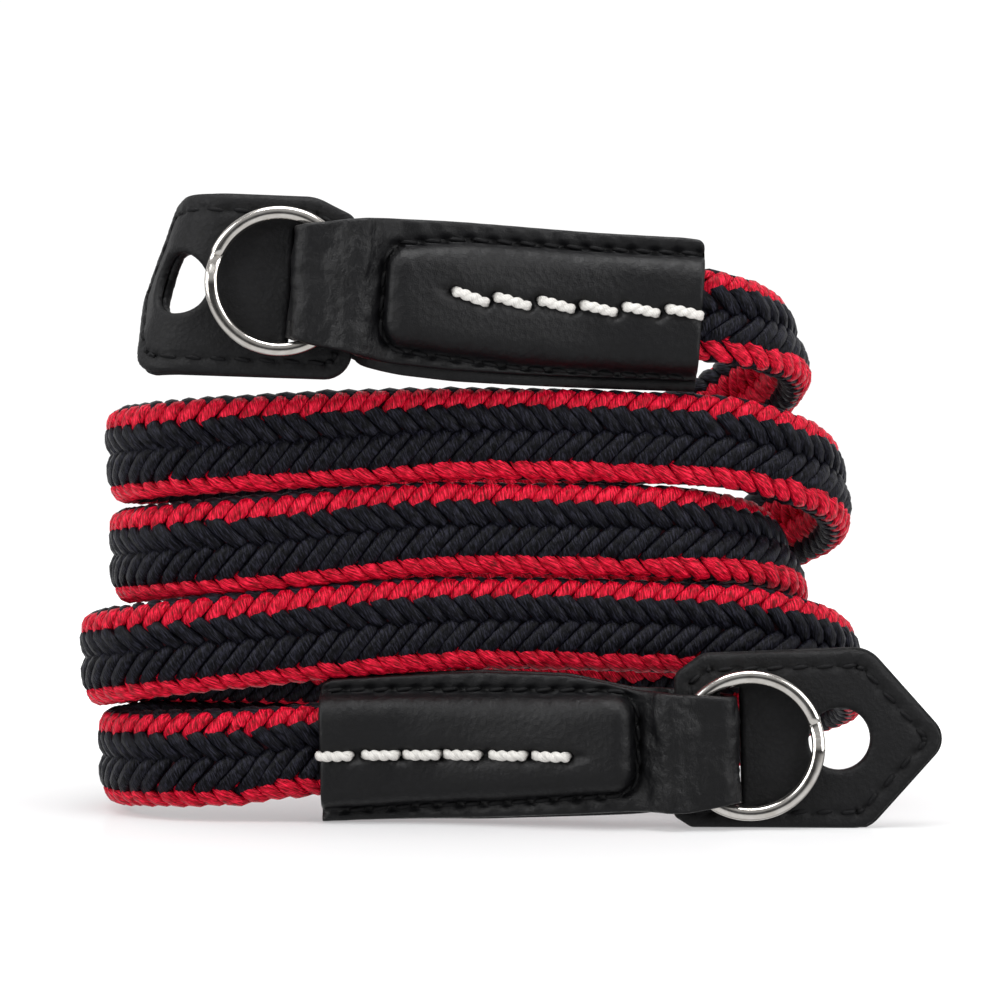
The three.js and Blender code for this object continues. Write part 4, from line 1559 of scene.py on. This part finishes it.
def flat_sheet(loops, cell):
    """A flat sheet bounded by the first loop, with the others as holes, cut into small cells."""
    bm = bmesh.new()
    edges = []
    for loop in loops:
        verts = [bm.verts.new((x, y, 0)) for x, y in loop]
        edges += [bm.edges.new((verts[i - 1], verts[i])) for i in range(len(verts))]
    bmesh.ops.triangle_fill(bm, edges=edges, use_beauty=True)
    for thickness in LAYER_INSETS:
        bmesh.ops.inset_region(bm, faces=bm.faces, thickness=thickness, use_even_offset=True)
    for axis, low, high in ((Vector((1, 0, 0)), 0, GUARD_LENGTH + 1), (Vector((0, 1, 0)), -10, 10)):
        for at in np.arange(low, high, cell):
            bmesh.ops.bisect_plane(bm, geom=bm.verts[:] + bm.edges[:] + bm.faces[:],
                                   plane_co=axis * (float(at) + CUT_SHIFT), plane_no=axis)
    return bm


class STRAP_OT_guards(bpy.types.Operator):
    """Makes the two ring guards, each of two layers of leather sewn together round the edge"""

    bl_idname = "strap.guards"
    bl_label = "Ring guards"

    def execute(self, context):
        settings = context.scene.strap_guards
        leather = leather_material("black_leather_guard", 2100.0, 0.4)
        thread = thread_material("black_guard_thread", (0.001, 0.001, 0.0012),
                                 (0.004, 0.004, 0.005), 0.2)
        for end in (LOWER, UPPER):
            guard = Guard(end)
            seam = GuardSeam(guard, settings)
            for back in (False, True):
                self.make_layer(guard, settings, seam, back, leather)
            self.make_stitches(seam, thread)
        return {"FINISHED"}

    @staticmethod
    def make_layer(guard, settings, seam, back, material):
        spread = settings.back_spread / MM if back else 0
        outline = rounded_polygon(GUARD_CORNERS[guard.end["name"]], spread)
        loops = [outline, guard.slit, guard.hole]
        bm = flat_sheet(loops, settings.cell / MM)
        result = bmesh.ops.extrude_face_region(bm, geom=bm.faces[:])
        far = {v for v in result["geom"] if isinstance(v, bmesh.types.BMVert)}
        bm.verts.ensure_lookup_table()
        flat = np.array([v.co[:2] for v in bm.verts])
        is_far = np.array([v in far for v in bm.verts])
        gap = settings.layer_gap / MM / 2
        half = GUARD_THICKNESS / 2
        near_depth, far_depth = (half + gap, 2 * half) if back else (0.0, half - gap)
        from_edge = np.min([distance_to_line(flat, loop)[0] for loop in loops], axis=0)
        fall = rounded(from_edge, OUTER_ROUNDING) + seam.dents(flat) * (from_edge > 0.3)
        fall = np.where(is_far == back, fall, rounded(from_edge, INNER_ROUNDING))
        depth = np.where(is_far, far_depth - fall, near_depth + fall)
        points = guard.place(flat[:, 0], flat[:, 1], depth) * MM
        for vert, point in zip(bm.verts, points):
            vert.co = Vector(point)
        bmesh.ops.remove_doubles(bm, verts=bm.verts, dist=2e-6)
        bmesh.ops.recalc_face_normals(bm, faces=bm.faces)
        name = "guard_" + ("back_" if back else "front_") + guard.end["name"]
        piece = finish_piece(name, mesh_of(bm, name),
                             ["ring_guard_" + guard.end["name"]], smooth_angle=60)
        piece.data.materials.append(material)

    @staticmethod
    def make_stitches(seam, material):
        sides = [stitch_bits(lambda places, beside: seam.points(places, beside, back),
                             seam.holes + seam.pitch * GUARD_GAP_SHARE / 2,
                             seam.pitch * (1 - GUARD_GAP_SHARE), GUARD_THREAD)
                 for back in (False, True)]
        finish_stitches("guard_stitches_" + seam.guard.end["name"], sides, material)


# Stage


class STRAP_PG_stage(bpy.types.PropertyGroup):
    view_height: size_property("View height", "Height of the camera above the floor", 37.28)
    view_distance: size_property(
        "View distance", "Distance of the camera from the plane of the front runs' faces", 335)
    view_focal: bpy.props.FloatProperty(
        name="Focal length", description="Focal length of the camera, in frame widths", default=3.015)
    view_row: bpy.props.FloatProperty(
        name="Horizon row", description="Row of the frame that the horizon falls on", default=490)


# Each soft box with its place, the length of its side, in metres, and its power in watts
SOFT_BOXES = [
    ("left_box", (-0.55, -0.34, 0.26), 0.5, 2.9),
    ("right_box", (0.56, -0.34, 0.28), 0.5, 2.9),
    ("top_box", (0.0, -0.16, 0.72), 0.5, 4.6),
]
LIT_POINT = Vector((0, 0, 0.03))
FLOOR_HALF = 3.0
# How far round the strap the floor's glow is dimmed as a painted shadow
PAINTED_SHADOW_REACH = 0.2


class STRAP_OT_stage(bpy.types.Operator):
    """Makes the floor, the lights, the surroundings and the camera"""

    bl_idname = "strap.stage"
    bl_label = "Stage"

    FACE_PLANE = -4.0

    def execute(self, context):
        settings = context.scene.strap_stage
        self.make_camera(context, settings)
        self.make_floor()
        self.make_world(context)
        self.make_lights()
        context.scene.view_settings.view_transform = "Standard"
        return {"FINISHED"}

    def make_camera(self, context, settings):
        data = bpy.data.cameras.new("camera")
        data.sensor_width = 36
        data.lens = settings.view_focal * data.sensor_width
        data.clip_start = 0.02
        camera = bpy.data.objects.new("camera", data)
        context.scene.collection.objects.link(camera)
        away = (self.FACE_PLANE + SHIFT[1]) * MM - settings.view_distance
        camera.location = (SHIFT[0] * MM, away, settings.view_height)
        drop = math.atan((PIXELS / 2 - settings.view_row) / (settings.view_focal * PIXELS))
        camera.rotation_euler = (math.pi / 2 - drop, 0, 0)
        context.scene.camera = camera

    @staticmethod
    def make_floor():
        bm = bmesh.new()
        bmesh.ops.create_grid(bm, x_segments=1, y_segments=1, size=FLOOR_HALF)
        floor = bpy.data.objects.new("floor", mesh_of(bm, "floor"))
        bpy.context.scene.collection.objects.link(floor)
        shader = Shader("floor_gloss", Specular_IOR_Level=0.0, Coat_Weight=0.12,
                        Coat_Roughness=0.12, Base_Color=(0.42, 0.42, 0.423, 1),
                        Emission_Strength=1.0)
        # The floor glows. Its glow is dimmed near the strap, a painted shadow round its foot, and rises to
        # white further off.
        away = shader.node("ShaderNodeVectorMath", {"operation": "LENGTH"}, {
            "Vector": shader.scaled(shader.object_place(), (1.25, 1.2, 1.0))}, "Value")
        glow_with_painted_shadow = shader.ramp(shader.clamp01(away / PAINTED_SHADOW_REACH), [
            (0.14, (0.37, 0.365, 0.37)), (0.24, (0.43, 0.43, 0.432)), (0.4, (0.51, 0.51, 0.51)),
            (0.8, (0.97, 0.97, 0.97))])
        floor.visible_glossy = False
        floor.data.materials.append(shader.feed(Emission_Color=glow_with_painted_shadow))

    @staticmethod
    def make_world(context):
        world = bpy.data.worlds.new("studio")
        world.use_nodes = True
        context.scene.world = world
        nodes = Nodes(world.node_tree)
        way = nodes.node("ShaderNodeTexCoord", {}, {}, "Generated")
        back = nodes.node("ShaderNodeSeparateXYZ", {}, {"Vector": way}, "Y")
        up = nodes.node("ShaderNodeSeparateXYZ", {}, {"Vector": way}, "Z")
        backdrop = nodes.ramp(back * 0.5 + 0.5, [(0.5, (0.16, 0.16, 0.165)), (0.96, (1.0, 1.0, 1.0))])
        front = nodes.ramp(up * 0.5 + 0.5, [
            (0.38, (0.62, 0.62, 0.62)), (0.46, (0.02, 0.02, 0.021)), (0.56, (0.02, 0.02, 0.021)),
            (0.70, (0.32, 0.32, 0.32))])
        light = nodes.blend(nodes.clamp01(back * 2.0 + 0.8), front, backdrop)
        background = world.node_tree.nodes["Background"]
        world.node_tree.links.new(light.socket, background.inputs["Color"])
        background.inputs["Strength"].default_value = 1.05

    @staticmethod
    def make_lights():
        for name, place, size, power in SOFT_BOXES:
            data = bpy.data.lights.new(name, "AREA")
            data.shape = "SQUARE"
            data.size = size
            data.energy = power
            light = bpy.data.objects.new(name, data)
            bpy.context.scene.collection.objects.link(light)
            light.location = place
            light.rotation_euler = (LIT_POINT - light.location).to_track_quat("-Z", "Y").to_euler()


class STRAP_PT_panel(bpy.types.Panel):
    """Buttons that make the strap's pieces"""

    bl_idname = "STRAP_PT_panel"
    bl_label = "Camera strap"
    bl_space_type = "VIEW_3D"
    bl_region_type = "UI"
    bl_category = "Strap"

    def draw(self, context):
        for operator in OPERATORS:
            self.layout.operator(operator.bl_idname)


GROUPS = {
    "strap_stage": STRAP_PG_stage, "strap_braid": STRAP_PG_braid, "strap_leather": STRAP_PG_leather,
    "strap_rings": STRAP_PG_rings, "strap_guards": STRAP_PG_guards,
}
OPERATORS = [
    STRAP_OT_stage, STRAP_OT_braid, STRAP_OT_leather_ends, STRAP_OT_rings, STRAP_OT_guards,
]


def register():
    for kind in (*GROUPS.values(), *OPERATORS, STRAP_PT_panel):
        bpy.utils.register_class(kind)
    for name, kind in GROUPS.items():
        setattr(bpy.types.Scene, name, bpy.props.PointerProperty(type=kind))


def unregister():
    for name in GROUPS:
        delattr(bpy.types.Scene, name)
    for kind in reversed((*GROUPS.values(), *OPERATORS, STRAP_PT_panel)):
        bpy.utils.unregister_class(kind)


def main():
    register()
    bpy.ops.strap.stage()
    bpy.ops.strap.braid()
    bpy.ops.strap.leather_ends()
    bpy.ops.strap.rings()
    bpy.ops.strap.guards()


if __name__ == "__main__":
    main()
